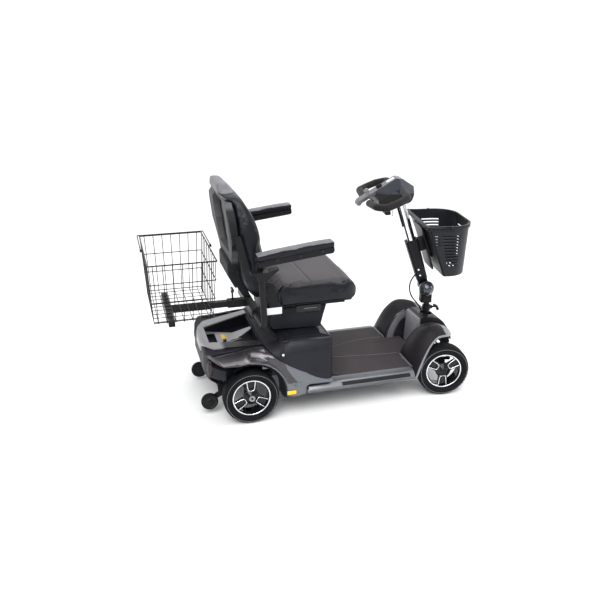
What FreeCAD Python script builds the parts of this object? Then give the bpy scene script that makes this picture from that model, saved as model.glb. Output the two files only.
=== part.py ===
import FreeCAD, Part
import math
import os

# Four-wheel mobility scooter, in millimetres.
# Working frame: +X forward, +Y to the rider's left, +Z up, the rear axle at x = 0, the ground at z = 0.
# The finished scooter is shifted along X and Y so that the middle of its box is the origin.

V = FreeCAD.Vector
X, Y, Z = V(1, 0, 0), V(0, 1, 0), V(0, 0, 1)

# ---- driving dimensions ---------------------------------------------------------------------
# wheels
WHEEL_R = 114.3             # 9 inch tyre
TYRE_W = 76.0
RIM_R = 80.0                # tyre seat
RIM_WALL = 5.0
RIM_W = 60.0
HUB_R = 30.0
SPOKE_W = 40.0
WHEELBASE = 863.0
REAR_TRACK = 486.0
FRONT_TRACK = 468.0
AXLE_R = 8.5
RUN_FIT = 0.05              # radial clearance of everything that turns or slides
GAP = 0.5                   # face to face clearance between moving pieces

# chassis
RAIL_Y = 70.0
RAIL_W = 25.0
RAIL_Z0 = 104.0
RAIL_H = 22.0
FRAME_REAR = -90.0
BEAM_HALF = 12.0            # half depth of the front cross beam
SOCKET_X = 205.0            # seat post
SOCKET_TOP = 318.0
SOCKET_WALL = 5.0

# steering
STEER_X = 881.0
STEER_REST = -8.0           # the bars stand turned a little to the rider's right
STEM_R = 13.0
HEAD_WALL = 5.5
HEAD_Z0 = 158.0
HEAD_Z1 = 246.0
ARM = 35.0                  # steering arm length
KING_OFFSET = 29.0          # kingpin to the middle of the wheel
KING_Y = FRONT_TRACK / 2 - KING_OFFSET
KING_R = 8.0
KING_BOSS_R = 14.0
PIN_R = 4.0
KNUCKLE_HALF = 30.0         # half height of the knuckle fork
KNUCKLE_T = 8.0
TIE_ROD_R = 4.0

# tiller
PIVOT_X = 861.0
PIVOT_Z = 420.0
TILLER_LEAN = 18.2
SLEEVE_LEN = 228.0
SLEEVE_W_TOP = 57.0
SLEEVE_W_LOW = 47.0
SLEEVE_D = 46.0
TILLER_TUBE_R = 19.0
TILLER_LEN = 424.0
CHEEK_R = 23.0
CHEEK_T = 8.0
TONGUE = 26.0
KNOB_R = 35.0

# body
BODY_HALF = 281.0           # half width over the wheel arches
WHEEL_ROOM = 10.0           # body to the side of a rear tyre
CORE_HALF = REAR_TRACK / 2 - TYRE_W / 2 - WHEEL_ROOM   # half width of the body between the rear wheels
ARCH_R = 148.0
REAR_X = -172.0
COVER_FRONT = 343.0
COVER_TOP = 348.0
SKIN = 3.0
DECK_FRONT = 716.0
DECK_Z = 132.0
TURRET_X = 798.0            # foot of the turret's rear wall
MAT_T = 6.0
PAN_T = 6.0
SILL_Z0 = 103.0
SILL_Z1 = 142.0
SILL_W = 57.0
MAT_HALF = BODY_HALF - SILL_W - 2
PAN_REAR = 300.0
FENDER_IN = 128.0
FENDER_T = 4.0

# seat
POST_R = 25.0
SEAT_HALF = 240.0
PAN_Z = 470.0
SEAT_PAN_T = 6.0
SEAT_TOP = 562.0
HINGE_X = 80.0
HINGE_Z = 570.0
BACK_HALF = 240.0
ARM_Y = 312.0
ARM_TUBE_R = 12.5
ARM_PIVOT_X = 40.0
ARM_PIVOT_Z = 695.0
CROSS_X = 50.0
CROSS_Z = 427.0
CROSS_HALF = 16.0
BOX_HALF = 170.0

# rear basket
BEAM = 25.0
BEAM_REAR = -300.0
CROSSBAR_HALF = 165.0
WIRE = 2.0
RIM_WIRE = 2.8
BASKET_RIM_Z = 685.0

# wheels
HUB_IN = 5.0                # how far the hub reaches inboard of the wheel's middle
HUB_OUT = 30.0
WEB_IN = 12.0
WEB_OUT = 20.0

# chassis
AXLE_TUBE_R = 21.0
AXLE_TUBE_END = CORE_HALF + 9
ARM_PIN_Z = WHEEL_R + KNUCKLE_HALF + KNUCKLE_T
BATTERY = (181.0, 77.0, 167.0)

# bodywork
# rear body in side view: the crest runs from the tail up to the battery cover
CREST = [(-153.0, 292.0), (66.0, 311.0)]
# parting line between the painted fairing and the black battery cover, in side view
FOOT_END = 230.0            # front of the fairing's foot
FOOT_TOP = SILL_Z1 + 0.5    # lower edge of the fairing above the sill
PARTING = [(68.0, 311.0), (138.0, 258.0), (231.0, 204.0), (COVER_FRONT, 160.0)]
# flank at three stations, as how far in from the side and how high: shoulder, top edge, middle of the bend
TAIL_FLANK = [(0.0, 248.0), (139.0, 290.0), (30.0, 276.0)]
CREST_FLANK = [(0.0, 258.0), (86.0, 311.0), (23.0, 287.0)]
COVER_FLANK = [(0.0, 270.0), (60.0, 350.0), (14.0, 322.0)]
COVER_START = 165.0         # the battery cover has its full height from here forward
WELL = [(-136.0, 84.0), (80.0, 160.0), (80.0, -160.0), (-136.0, -84.0)]   # plan of the well in the tail
WELL_Z = 254.0
WELL_REAR = -128.0          # the cover's platform sits on the body behind this
ANTI_TIP_X = -155.0
ANTI_TIP_Y = 153.0
ANTI_TIP_Z = 59.0
ANTI_TIP_R = 34.0
ANTI_TIP_W = 22.0
FREE_X, FREE_Y, FREE_Z = -67.0, -65.0, 234.0   # pivot of the drive release
LEVER_SLOT = (-17.0, 66.0)  # its slot, fore and aft of the pivot
LEVER_TURN = 22.0

# steering
YOKE_Z = 341.0
STUD_R = 5.0
LOCK_R = 4.0
LOCK_Z = 312.0

# tiller
TUBE_IN = 150.0             # how far the upper tube reaches into the sleeve
# head of the tiller in side view
HEAD_HALF = 78.0
HEAD_TOP = [(550.0, 826.0), (704.0, 916.0), (726.0, 914.0), (780.0, 880.0)]
HEAD_NOSE = [(541.0, 817.0), (538.0, 803.0)]     # round rear end below the first point
STRIP_HALF = 28.0           # half width of the silver console strip
ROOF_DROP = 36.0            # fall of the side panels from the strip to the side
CONSOLE_T = 16.0
DIAL_U, KEY_U, GAUGE_U = 100.0, 44.0, 154.0
DIAL_R = 13.0
HORN_X, HORN_Y, HORN_Z = 752.0, 46.0, 878.0
HORN_R = 7.0
HORN_TRAVEL = 3.0
GRIP_R = 15.0

# front basket
BASKET_TOP = (816.0, 1020.0, 158.0, 734.0)       # rear x, front x, half width, height of the rim
BASKET_BASE = (905.0, 1020.0, 130.0, 502.0)
BASKET_WALL = 3.0
SLOT_ROWS = 11
SLOT_PITCH = 13.5
SLOT_H = 6.0
HANDLE_X = 915.0
HANDLE_Z = BASKET_TOP[3] - 8

# tiller cable
CABLE_R = 3.2

# seat
POST_TOP = 350.0
SWIVEL_R = 15.0
HUB_OUTER = 22.0
BOX_TOP = 446.0
HINGE_PIN_R = 6.0
PLATE_IN = BACK_HALF + 7
PLATE_T = 5.0
RECEIVER_X = -40.0
BEAM_FRONT = 28.0
KNOB_STUD_R = 4.0
KNOB_X = -17.0
LEVER_X = 150.0
LEVER_Y = -110.0
ARM_TILT = 6.9

# rear basket
HOLE_PITCH = 28.5
RIM_X = (-368.0, -108.0)
RIM_Y = 214.0
LOW_X = (-356.0, -124.0)
LOW_Y = 186.0
BASKET_LOW = CROSS_Z + BEAM / 2 + WIRE

# assembly
SIDES = (("left", 1), ("right", -1))

# ---- helpers --------------------------------------------------------------------------------


def box(x0, x1, y0, y1, z0, z1):
    return Part.makeBox(x1 - x0, y1 - y0, z1 - z0, V(x0, y0, z0))


def rod(p, q, r):
    return Part.makeCylinder(r, (q - p).Length, p, q - p)


def bar(p, q, r, sides=6):
    """Straight prism with a regular section, as plain wire."""
    along = q - p
    side = along.cross(Z if abs(along.normalize().z) < 0.9 else X).normalize()
    up = along.cross(side)
    ring = []
    for i in range(sides + 1):
        a = 2 * math.pi * (i % sides + 0.5) / sides
        ring.append(p + side * (r * math.cos(a)) + up * (r * math.sin(a)))
    return Part.Face(Part.makePolygon(ring)).extrude(q - p)


def wire(points, place):
    """Closed outline. A point is (a, b); an arc to it through (m, n) is (a, b, m, n)."""
    edges = []
    last = place(points[0][0], points[0][1])
    for point in points[1:] + points[:1]:
        end = place(point[0], point[1])
        if len(point) == 4:
            edges.append(Part.Arc(last, place(point[2], point[3]), end).toShape())
        elif (end - last).Length > 1e-6:
            edges.append(Part.LineSegment(last, end).toShape())
        last = end
    return Part.Wire(edges)


def prism_xz(points, y0, y1, inset=0.0):
    return extrude(wire(points, lambda a, b: V(a, y0, b)), V(0, y1 - y0, 0), inset)


def prism_xy(points, z0, z1, inset=0.0):
    return extrude(wire(points, lambda a, b: V(a, b, z0)), V(0, 0, z1 - z0), inset)


def prism_yz(points, x0, x1, inset=0.0):
    return extrude(wire(points, lambda a, b: V(x0, a, b)), V(x1 - x0, 0, 0), inset)


def extrude(outline, path, inset):
    if inset:
        outline = outline.makeOffset2D(-inset)
    return Part.Face(outline).extrude(path)


def fuse(*shapes):
    return shapes[0].multiFuse(list(shapes[1:])).removeSplitter()


def mirrored(shape):
    return shape.mirror(V(0, 0, 0), Y)


def both_sides(shape):
    return Part.makeCompound([shape, mirrored(shape)])


def round_edges(shape, r, test):
    edges = [e for e in shape.Edges if test(e)]
    return shape.makeFillet(r, edges) if edges else shape


def along(axis):
    """Test for straight edges that run along one axis."""
    def test(edge):
        if not isinstance(edge.Curve, Part.Line):
            return False
        return abs(edge.Curve.Direction.dot(axis)) > 0.999
    return test


def turned(shape, base, axis, degrees):
    copy = shape.copy()
    copy.rotate(base, axis, degrees)
    return copy


def rounded_route(points, radii):
    """Straight runs joined by tangent arcs; radii holds one value for each inner point."""
    edges = []
    last = points[0]
    for i in range(1, len(points) - 1):
        corner = points[i]
        back = (points[i - 1] - corner).normalize()
        ahead = (points[i + 1] - corner).normalize()
        half = back.getAngle(ahead) / 2
        reach = radii[i - 1] / math.tan(half)
        middle = corner + (back + ahead).normalize() * (radii[i - 1] / math.sin(half) - radii[i - 1])
        start = corner + back * reach
        end = corner + ahead * reach
        edges.append(Part.LineSegment(last, start).toShape())
        edges.append(Part.Arc(start, middle, end).toShape())
        last = end
    edges.append(Part.LineSegment(last, points[-1]).toShape())
    return Part.Wire(edges)


def tube_on(path, r):
    """Round bar swept along a route of runs and arcs."""
    first = path.Edges[0]
    start = first.valueAt(first.FirstParameter)
    ring = Part.Wire([Part.makeCircle(r, start, first.tangentAt(first.FirstParameter))])
    return path.makePipeShell([ring], True, True)


def bent(points, r, bend):
    return tube_on(rounded_route(points, [bend] * (len(points) - 2)), r)


def revolve(points, base, axis_end):
    """Solid of revolution about Y through base; the outline is (distance along Y, radius)."""
    outline = wire(points, lambda a, b: base + V(0, a * axis_end, b))
    return Part.Face(outline).revolve(base, Y, 360)


def loft(outlines):
    return Part.makeLoft(outlines, True, True)


# ---- wheels ---------------------------------------------------------------------------------


def tyre(centre, side):
    half = TYRE_W / 2
    seat = RIM_W / 2
    shoulder = WHEEL_R - 4.0
    outline = [(-seat, RIM_R),
               (-half + 9, shoulder, -half, (RIM_R + shoulder) / 2),
               (half - 9, shoulder, 0, WHEEL_R),
               (seat, RIM_R, half, (RIM_R + shoulder) / 2)]
    return revolve(outline, centre, side)


def rim(centre, side, spoke_angle):
    half = RIM_W / 2
    inner = RIM_R - RIM_WALL
    outline = [(-half, RIM_R), (-half, inner), (WEB_IN, inner), (WEB_IN, HUB_R), (-HUB_IN, HUB_R),
               (-HUB_IN, AXLE_R + RUN_FIT), (HUB_OUT, AXLE_R + RUN_FIT), (HUB_OUT, HUB_R * 0.55),
               (WEB_OUT, HUB_R), (WEB_OUT, inner), (half, inner), (half, RIM_R)]
    body = revolve(outline, centre, side)
    window = Part.makeCylinder(inner - 6, WEB_OUT, centre, Y * side)
    window = window.cut(Part.makeCylinder(HUB_R + 4, WEB_OUT, centre, Y * side))
    spokes = []
    pockets = []
    for i in range(3):
        angle = spoke_angle + 120 * i
        spoke = box(0, inner, -SPOKE_W / 2, SPOKE_W / 2, 0, WEB_OUT)
        pocket = box(HUB_R + 6, inner, -SPOKE_W / 2 + 8, SPOKE_W / 2 - 8, WEB_OUT - 4, WEB_OUT)
        for piece, group in ((spoke, spokes), (pocket, pockets)):
            group.append(place_on_wheel(piece, centre, side, angle))
    window = window.cut(spokes)
    return body.cut([window] + pockets)


def place_on_wheel(piece, centre, side, angle):
    """Moves a piece drawn in XY with Z outward onto the wheel face, turned about the axle."""
    copy = piece.copy()
    copy.rotate(V(0, 0, 0), X, -90 * side)
    copy.rotate(V(0, 0, 0), Y, -angle)
    copy.translate(centre)
    return copy


def axle_stub(centre, side, inner_y):
    """Fixed spindle from the carrier out through the hub, with its nut."""
    start = V(centre.x, inner_y * side, centre.z)
    end = centre + Y * (side * (HUB_OUT + GAP))
    nut = rod(end, end + Y * (side * 7), AXLE_R + 4)
    return fuse(rod(start, end, AXLE_R), nut)


# ---- chassis --------------------------------------------------------------------------------


def main_frame():
    """Two rails with cross members and the seat post's socket."""
    top = RAIL_Z0 + RAIL_H
    pieces = []
    for side in (-1, 1):
        y = RAIL_Y * side
        pieces.append(box(FRAME_REAR, WHEELBASE - BEAM_HALF, y - RAIL_W / 2, y + RAIL_W / 2, RAIL_Z0, top))
    for x in (FRAME_REAR, SOCKET_X - 15, SOCKET_X + 110, DECK_FRONT - 60):
        pieces.append(box(x, x + 30, -RAIL_Y, RAIL_Y, RAIL_Z0, top))
    socket_r = POST_R + RUN_FIT + SOCKET_WALL
    pieces.append(Part.makeCylinder(socket_r, SOCKET_TOP - RAIL_Z0, V(SOCKET_X, 0, RAIL_Z0)))
    for side in (-1, 1):
        gusset = [(SOCKET_X - 90, top), (SOCKET_X + 90, top), (SOCKET_X, SOCKET_TOP - 60)]
        pieces.append(prism_xz(gusset, side * 8 - 3, side * 8 + 3))
    bore = Part.makeCylinder(POST_R + RUN_FIT, SOCKET_TOP, V(SOCKET_X, 0, RAIL_Z0 + 8))
    return fuse(*pieces).cut(bore)


def front_axle_beam():
    """Cross beam with the kingpin bosses, and the steering head on its strut."""
    top = RAIL_Z0 + RAIL_H
    front = STEER_X + 22
    pieces = [box(WHEELBASE - BEAM_HALF, WHEELBASE + BEAM_HALF, -KING_Y, KING_Y, RAIL_Z0, top)]
    pieces.append(box(STEER_X - 22, front, -RAIL_Y, RAIL_Y, RAIL_Z0, top - 8))
    for side in (-1, 1):
        y = RAIL_Y * side
        pieces.append(box(WHEELBASE, front, y - RAIL_W / 2, y + RAIL_W / 2, RAIL_Z0, top))
        boss = Part.makeCylinder(KING_BOSS_R, 2 * (KNUCKLE_HALF - GAP),
                                 V(WHEELBASE, KING_Y * side, WHEEL_R - KNUCKLE_HALF + GAP))
        pieces.append(boss)
    head_r = STEM_R + RUN_FIT + HEAD_WALL
    pieces.append(Part.makeCylinder(head_r, HEAD_Z1 - HEAD_Z0, V(STEER_X, 0, HEAD_Z0)))
    back = STEER_X - 25
    strut = [(back - 18, top - 4), (back, top - 4), (back, HEAD_Z0 + 17), (STEER_X - 11, HEAD_Z0 + 17),
             (STEER_X - 11, HEAD_Z1 - 4), (back - 6, HEAD_Z1 - 30)]
    pieces.append(prism_xz(strut, -10, 10))
    cuts = [Part.makeCylinder(STEM_R + RUN_FIT, HEAD_Z1, V(STEER_X, 0, RAIL_Z0 - 10))]
    for side in (-1, 1):
        cuts.append(Part.makeCylinder(KING_R + RUN_FIT, 100, V(WHEELBASE, KING_Y * side, 60)))
    return fuse(*pieces).cut(cuts)


def transaxle():
    axle = V(0, 0, WHEEL_R)
    tube = rod(V(0, -AXLE_TUBE_END, WHEEL_R), V(0, AXLE_TUBE_END, WHEEL_R), AXLE_TUBE_R)
    gearbox = fuse(rod(axle + Y * 10, axle + Y * 64, 52),
                   rod(V(-72, 10, 168), V(-72, 64, 168), 48),
                   prism_xz([(-105, 132), (-35, 210), (40, 148), (-15, 70)], 10, 64))
    motor = fuse(rod(V(-72, -130, 168), V(-72, 10, 168), 42), rod(V(-72, -142, 168), V(-72, -130, 168), 30))
    pieces = [tube, gearbox, motor]
    for side in (-1, 1):
        centre = V(0, REAR_TRACK / 2 * side, WHEEL_R)
        pieces.append(axle_stub(centre, side, AXLE_TUBE_END - 2))
        y = RAIL_Y * side
        pieces.append(box(-18, 18, y - 10, y + 10, RAIL_Z0 + RAIL_H, WHEEL_R + AXLE_TUBE_R + 4))
    body = fuse(*pieces)
    rails = [box(FRAME_REAR, 400, side * RAIL_Y - RAIL_W / 2, side * RAIL_Y + RAIL_W / 2,
                 0, RAIL_Z0 + RAIL_H) for side in (-1, 1)]
    cross = box(FRAME_REAR, FRAME_REAR + 30, -RAIL_Y, RAIL_Y, 0, RAIL_Z0 + RAIL_H)
    return body.cut(rails + [cross])


def batteries():
    x0 = PAN_REAR - GAP - BATTERY[0]
    y0 = POST_R + SOCKET_WALL + 12
    z0 = RAIL_Z0 + RAIL_H
    case = box(x0, x0 + BATTERY[0], y0, y0 + BATTERY[1], z0, z0 + BATTERY[2])
    case = round_edges(case, 5, along(Z))
    pieces = [case]
    for x in (x0 + 20, x0 + BATTERY[0] - 20):
        pieces.append(box(x - 7, x + 7, y0 + 30, y0 + 42, z0 + BATTERY[2], z0 + BATTERY[2] + 10))
    return both_sides(fuse(*pieces))


# ---- bodywork -------------------------------------------------------------------------------


def plan_outline(half):
    """Plan of the tail: a flat rear face with two rounded corners."""
    return [(REAR_X, 118), (-108, half - 12, -152, 205), (COVER_FRONT, half), (COVER_FRONT, -half),
            (-108, -half + 12), (REAR_X, -118, -152, -205)]


def body_solid(inset):
    """Whole rear body from the tail to the front of the battery cover, drawn in by a skin's thickness."""
    outlines = []
    stations = ((REAR_X, TAIL_FLANK), (CREST[1][0], CREST_FLANK), (COVER_START, COVER_FLANK),
                (COVER_FRONT + 1, COVER_FLANK))
    for x, flank in stations:
        foot, top, bend = [(BODY_HALF - far - inset, z - inset) for far, z in flank]
        ring = [(-foot[0], 80), (foot[0], 80), foot, top + bend, (-top[0], top[1]),
                (-foot[0], foot[1], -bend[0], bend[1])]
        outlines.append(wire(ring, lambda a, b: V(x, a, b)))
    return loft(outlines)


def side_fairings():
    """Painted flank: crest, swoosh over the wheel, arch lip and the foot that carries the reflector."""
    lip = math.sin(math.radians(14)) * ARCH_R
    profile = [CREST[0], CREST[1], PARTING[0], PARTING[1],
               (PARTING[2][0], PARTING[2][1], 180, 229), (PARTING[3][0], PARTING[3][1], 283, 174),
               (COVER_FRONT, FOOT_TOP), (FOOT_END + 14, FOOT_TOP),
               (FOOT_END, FOOT_TOP - 14, FOOT_END + 4, FOOT_TOP - 4), (FOOT_END, 112), (FOOT_END - 16, 101, FOOT_END - 3, 104), (156, 100, 184, 95),
               (math.sqrt(ARCH_R ** 2 - 10 ** 2), WHEEL_R - 10),
               (-lip, WHEEL_R + math.sqrt(ARCH_R ** 2 - lip ** 2),
                ARCH_R * math.cos(math.radians(48)), WHEEL_R + ARCH_R * math.sin(math.radians(48))),
               (-120, 262, -80, 258), (-166, 276)]
    shapes = []
    for inset in (0.0, SKIN):
        side = prism_xz(profile, CORE_HALF - 10, BODY_HALF + 1, inset)
        plan = prism_xy(plan_outline(BODY_HALF), 80, 360, inset)
        shapes.append(side.common(body_solid(inset)).common(plan))
    outer = shapes[0].common(box(REAR_X, COVER_FRONT, CORE_HALF, BODY_HALF + 1, 0, 400))
    hollow = shapes[1].common(box(REAR_X, COVER_FRONT, CORE_HALF - 20, BODY_HALF + 1, 0, 400))
    flank = outer.cut(hollow)
    flank = flank.cut(reflector_block(0.0))
    return both_sides(flank)


def reflector_block(clearance):
    return box(146 - clearance, 184 + clearance, BODY_HALF - 4, BODY_HALF + 1, 110 - clearance, 127 + clearance)


def battery_cover():
    """Black lift-off cover over the batteries, open underneath."""
    full = [(PARTING[0][0], PARTING[0][1], 114, 337), PARTING[1], (PARTING[2][0], PARTING[2][1], 180, 229),
            (PARTING[3][0], PARTING[3][1], 283, 174),
            (COVER_FRONT - 2, 328), (COVER_FRONT - 16, 343, COVER_FRONT - 5, 339),
            (300, COVER_TOP), (COVER_START, COVER_TOP)]
    middle = [(PARTING[0][0], PARTING[0][1], 114, 337), (PARTING[0][0], 262), (154, 140), (COVER_FRONT, 140), (COVER_FRONT - 2, 328),
              (COVER_FRONT - 16, 343, COVER_FRONT - 5, 339), (300, COVER_TOP), (COVER_START, COVER_TOP)]
    shapes = []
    for inset in (0.0, SKIN):
        wide = prism_xz(full, -BODY_HALF, BODY_HALF, inset)
        core = prism_xz(middle, -CORE_HALF + inset, CORE_HALF - inset, inset)
        corners = prism_xy([(60, -BODY_HALF), (COVER_FRONT - 40, -BODY_HALF),
                            (COVER_FRONT, -BODY_HALF + 34, COVER_FRONT - 8, -BODY_HALF + 9),
                            (COVER_FRONT, BODY_HALF - 34),
                            (COVER_FRONT - 40, BODY_HALF, COVER_FRONT - 8, BODY_HALF - 9),
                            (60, BODY_HALF)], 100, 400, inset)
        shapes.append(fuse(wide, core).common(body_solid(inset)).common(corners))
    shell = shapes[0].cut(shapes[1])
    floor = box(60, COVER_FRONT - SKIN, -CORE_HALF + SKIN, CORE_HALF - SKIN, 130, 200)
    shell = shell.cut(floor)
    back = box(60, PARTING[0][0] + SKIN + 1, -CORE_HALF + SKIN, CORE_HALF - SKIN, 200, PARTING[0][1] - 12)
    shell = shell.cut(back)
    hole = Part.makeCylinder(POST_R + SOCKET_WALL + 4, 60, V(SOCKET_X, 0, COVER_TOP - 30))
    return shell.cut(hole)


def rear_body():
    """Black tail shell between and behind the rear wheels, with a walled well under the silver cover."""
    profile = [(REAR_X + 2, 190), (REAR_X + 2, 268), (-160, 284, -167, 278), (-20, 298.5), (66, 305.5), (66, 262),
               (60, 150), (20, 150), (-112, 146)]
    shapes = []
    for inset in (0.0, SKIN):
        side = prism_xz(profile, -BODY_HALF, BODY_HALF, inset)
        plan = prism_xy(plan_outline(BODY_HALF), 80, 360, inset + 1)
        shapes.append(side.common(plan))
    narrow = fuse(box(REAR_X, -100, -BODY_HALF, BODY_HALF, 80, 246),
                  box(REAR_X, 80, -CORE_HALF + 0.5, CORE_HALF - 0.5, 80, 340).common(body_solid(SKIN + 0.5)))
    tail_room = prism_yz([(-BODY_HALF, 80), (-BODY_HALF, 206), (-CORE_HALF, 192), (-CORE_HALF, 80)], REAR_X, -90)
    shell = shapes[0].common(narrow)
    hollow = shapes[1].common(fuse(box(REAR_X, -100, -BODY_HALF, BODY_HALF, 80, 242),
                                   box(WELL_REAR, 80, -CORE_HALF + SKIN, CORE_HALF - SKIN, 80, WELL_Z - SKIN)))
    seat = prism_xz([(REAR_X - 1, WELL_Z - 4), (-150, WELL_Z), (WELL_REAR, WELL_Z), (WELL_REAR, 320), (REAR_X - 1, 320)],
                    -90, 90)
    shell = shell.cut([hollow, seat, prism_xy(WELL, WELL_Z, 400)])
    below = box(-122, 90, -CORE_HALF + SKIN, CORE_HALF - SKIN, 100, 160)
    front = box(40, 70, -CORE_HALF + SKIN, CORE_HALF - SKIN, 100, WELL_Z - SKIN)
    wheel_room = []
    for side in (-1, 1):
        start = V(0, (CORE_HALF + 1) * side, WHEEL_R)
        wheel_room.append(Part.makeCylinder(WHEEL_R + 12, 120, start, Y * side))
    axle = Part.makeCylinder(AXLE_TUBE_R + 1.5, 2 * BODY_HALF, V(0, -BODY_HALF, WHEEL_R), Y)
    slot = box(-6 - AXLE_TUBE_R, 6 + AXLE_TUBE_R, -BODY_HALF, BODY_HALF, 60, WHEEL_R)
    lever = turned(box(LEVER_SLOT[0], LEVER_SLOT[1], -7, 7, 240, 300), V(0, 0, 0), Z, LEVER_TURN)
    lever.translate(V(FREE_X, FREE_Y, 0))
    shell = shell.cut([below, front, axle, slot, lever, tail_room, mirrored(tail_room)] + wheel_room)
    return shell.cut([tail_lamp(1, 0.3), tail_lamp(-1, 0.3)])


def tail_lamp(side, clearance):
    """Oval lamp in the rounded rear corner."""
    lamp = Part.makeCylinder(34 + clearance, 16, V(0, 0, -8))
    matrix = FreeCAD.Matrix()
    matrix.scale(0.45, 1.0, 1.0)
    lamp = lamp.transformGeometry(matrix)
    lamp.rotate(V(0, 0, 0), Y, -90)
    lamp.rotate(V(0, 0, 0), X, 90)
    lamp.rotate(V(0, 0, 0), Z, -side * 38)
    lamp.translate(V(-152, 196 * side, 232))
    return lamp


def lamps():
    """Tail lamps and amber side reflectors, four solids."""
    pieces = []
    for side in (-1, 1):
        pieces.append(tail_lamp(side, 0.0))
    block = reflector_block(0.0)
    return Part.makeCompound(pieces + [block, mirrored(block)])


def rear_cover():
    """Silver deck over the tail: two rails, the nose, and a platform with a grip pocket."""
    profile = [(REAR_X, 252), (REAR_X, 272), (-150, 293, -167, 288), (CREST[1][0], CREST[1][1]),
               (CREST[1][0], CREST[1][1] - 5), (-20, 299), (-148, 287), (-168, 271, -162, 283), (-168, 252)]
    plate = prism_xz(profile, -BODY_HALF, BODY_HALF)
    side = BODY_HALF - CREST_FLANK[1][0]
    plan = [(-128, -152, -159, -98), (CREST[1][0], -side), (CREST[1][0], side), (-128, 152), (REAR_X, 0, -159, 98)]
    top = plate.common(prism_xy(plan, 80, 400))
    top = top.cut(prism_xy(WELL, 250, 400))
    step = prism_xz([(-168, 254), (-168, 270), (-140, 289), (-140, 272), (-20, 272), (60, 308), (60, 304),
                     (-18, 268), (-136, 268), (-136, 260), (-150, 256)], -BODY_HALF, BODY_HALF)
    wedge = prism_xy([(-164, 88), (-136, 88), (56, 10), (56, -10), (-136, -88), (-164, -88)], 200, 400)
    platform = step.common(wedge)
    cover = fuse(top, platform)
    pocket = round_edges(box(-134, -94, -58, 58, 250, 300), 6, along(Z))
    slot = round_edges(box(LEVER_SLOT[0], LEVER_SLOT[1], -7, 7, 250, 300), 4, along(Z))
    slot = turned(slot, V(0, 0, 0), Z, LEVER_TURN)
    slot.translate(V(FREE_X, FREE_Y, 0))
    return cover.cut([pocket, slot])


def deck_pan():
    """Floor tray with a raised sill on each side and a tongue between the mudguards."""
    half = BODY_HALF - SILL_W + 7
    right = [(PAN_REAR, -205), (PAN_REAR + 45, -half), (DECK_FRONT, -half), (DECK_FRONT, -FENDER_IN - 4),
             (DECK_FRONT + 6, -FENDER_IN + 4), (TURRET_X + 6, -FENDER_IN + 4)]
    floor = prism_xy(both_halves(right), DECK_Z - PAN_T, DECK_Z)
    half = BODY_HALF
    section = [(half - SILL_W, DECK_Z - PAN_T), (half - SILL_W, DECK_Z + MAT_T - 1), (half - 7, SILL_Z1),
               (half, SILL_Z1 - 7, half - 2, SILL_Z1 - 2), (half, SILL_Z0 + 6), (half - 7, SILL_Z0),
               (half - 12, SILL_Z0), (half - 5, SILL_Z0 + 8), (half - 5, SILL_Z1 - 11),
               (half - 12, SILL_Z1 - 6), (half - SILL_W + 10, DECK_Z - PAN_T)]
    sill = prism_yz(section, FOOT_END + 2, DECK_FRONT - 2)
    corner = [(FOOT_END, FOOT_TOP - 17), (FOOT_END + 3, FOOT_TOP - 8), (FOOT_END + 8, FOOT_TOP - 3),
              (FOOT_END + 16, FOOT_TOP + 1), (FOOT_END, FOOT_TOP + 1)]
    inset = box(385, 694, half - 3, half + 1, SILL_Z0 + 10, SILL_Z1 - 8)
    sill = sill.cut([inset, prism_xz(corner, 0, half + 1)])
    return fuse(floor, sill, mirrored(sill))


def both_halves(right):
    """Closed plan from its right half, listed forward."""
    return right + [(x, -y) for x, y in reversed(right)]


def deck_mat():
    right = [(COVER_FRONT + 1, -MAT_HALF + 32), (395, -MAT_HALF), (DECK_FRONT - 4, -MAT_HALF),
             (DECK_FRONT - 4, -FENDER_IN - 6), (DECK_FRONT + 8, -FENDER_IN + 10), (TURRET_X - 2, -FENDER_IN + 10)]
    mat = prism_xy(both_halves(right), DECK_Z, DECK_Z + MAT_T)
    recess = box(DECK_FRONT - 62, DECK_FRONT + 2, -54, 54, DECK_Z + MAT_T - 1.5, DECK_Z + MAT_T + 1)
    return mat.cut(recess)


def fender_plan(inset):
    """Plan of one mudguard, its outer edge drawing in toward the front."""
    return [(DECK_FRONT - 6, 0), (DECK_FRONT - 6, 258 - inset), (940, 204 - inset, 840, 231 - inset), (940, 0)]


def front_fenders():
    """Arched mudguard with an inner wall, a crowned top and a rolled outer lip."""
    t = FENDER_T
    outer = [(DECK_FRONT + 4, 99), (806, 268, 752, 197), (895, 283, 848, 289)]
    inner = [(895, 283 - t), (808, 268 - t, 848, 289 - t), (DECK_FRONT + 4 + t, 99, 752 + t, 197 - t / 2)]
    band = prism_xz(outer + inner, FENDER_IN, BODY_HALF)
    edge = prism_xz(outer + [(895, 262), (848, 262), (812, 250), (DECK_FRONT + 13, 99, 763, 190)],
                    FENDER_IN, BODY_HALF)
    edge = edge.cut(prism_xy(fender_plan(3.0), 0, 400))
    wall = [(DECK_FRONT + 10, DECK_Z + MAT_T), (DECK_FRONT + 15, 158), (806, 267, 754, 200), (895, 282, 848, 288),
            (930, 236), (930, DECK_Z + MAT_T)]
    side = prism_xz(wall, FENDER_IN, FENDER_IN + t)
    side = side.cut(box(842, 918, 0, BODY_HALF, 100, 196))
    crown = [(FENDER_IN, 0), (BODY_HALF, 0), (BODY_HALF, 252), (FENDER_IN, 290, 212, 277)]
    fender = fuse(band, edge, side).common(prism_yz(crown, 600, 1000))
    return both_sides(fender.common(prism_xy(fender_plan(0.0), 0, 400)))


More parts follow.
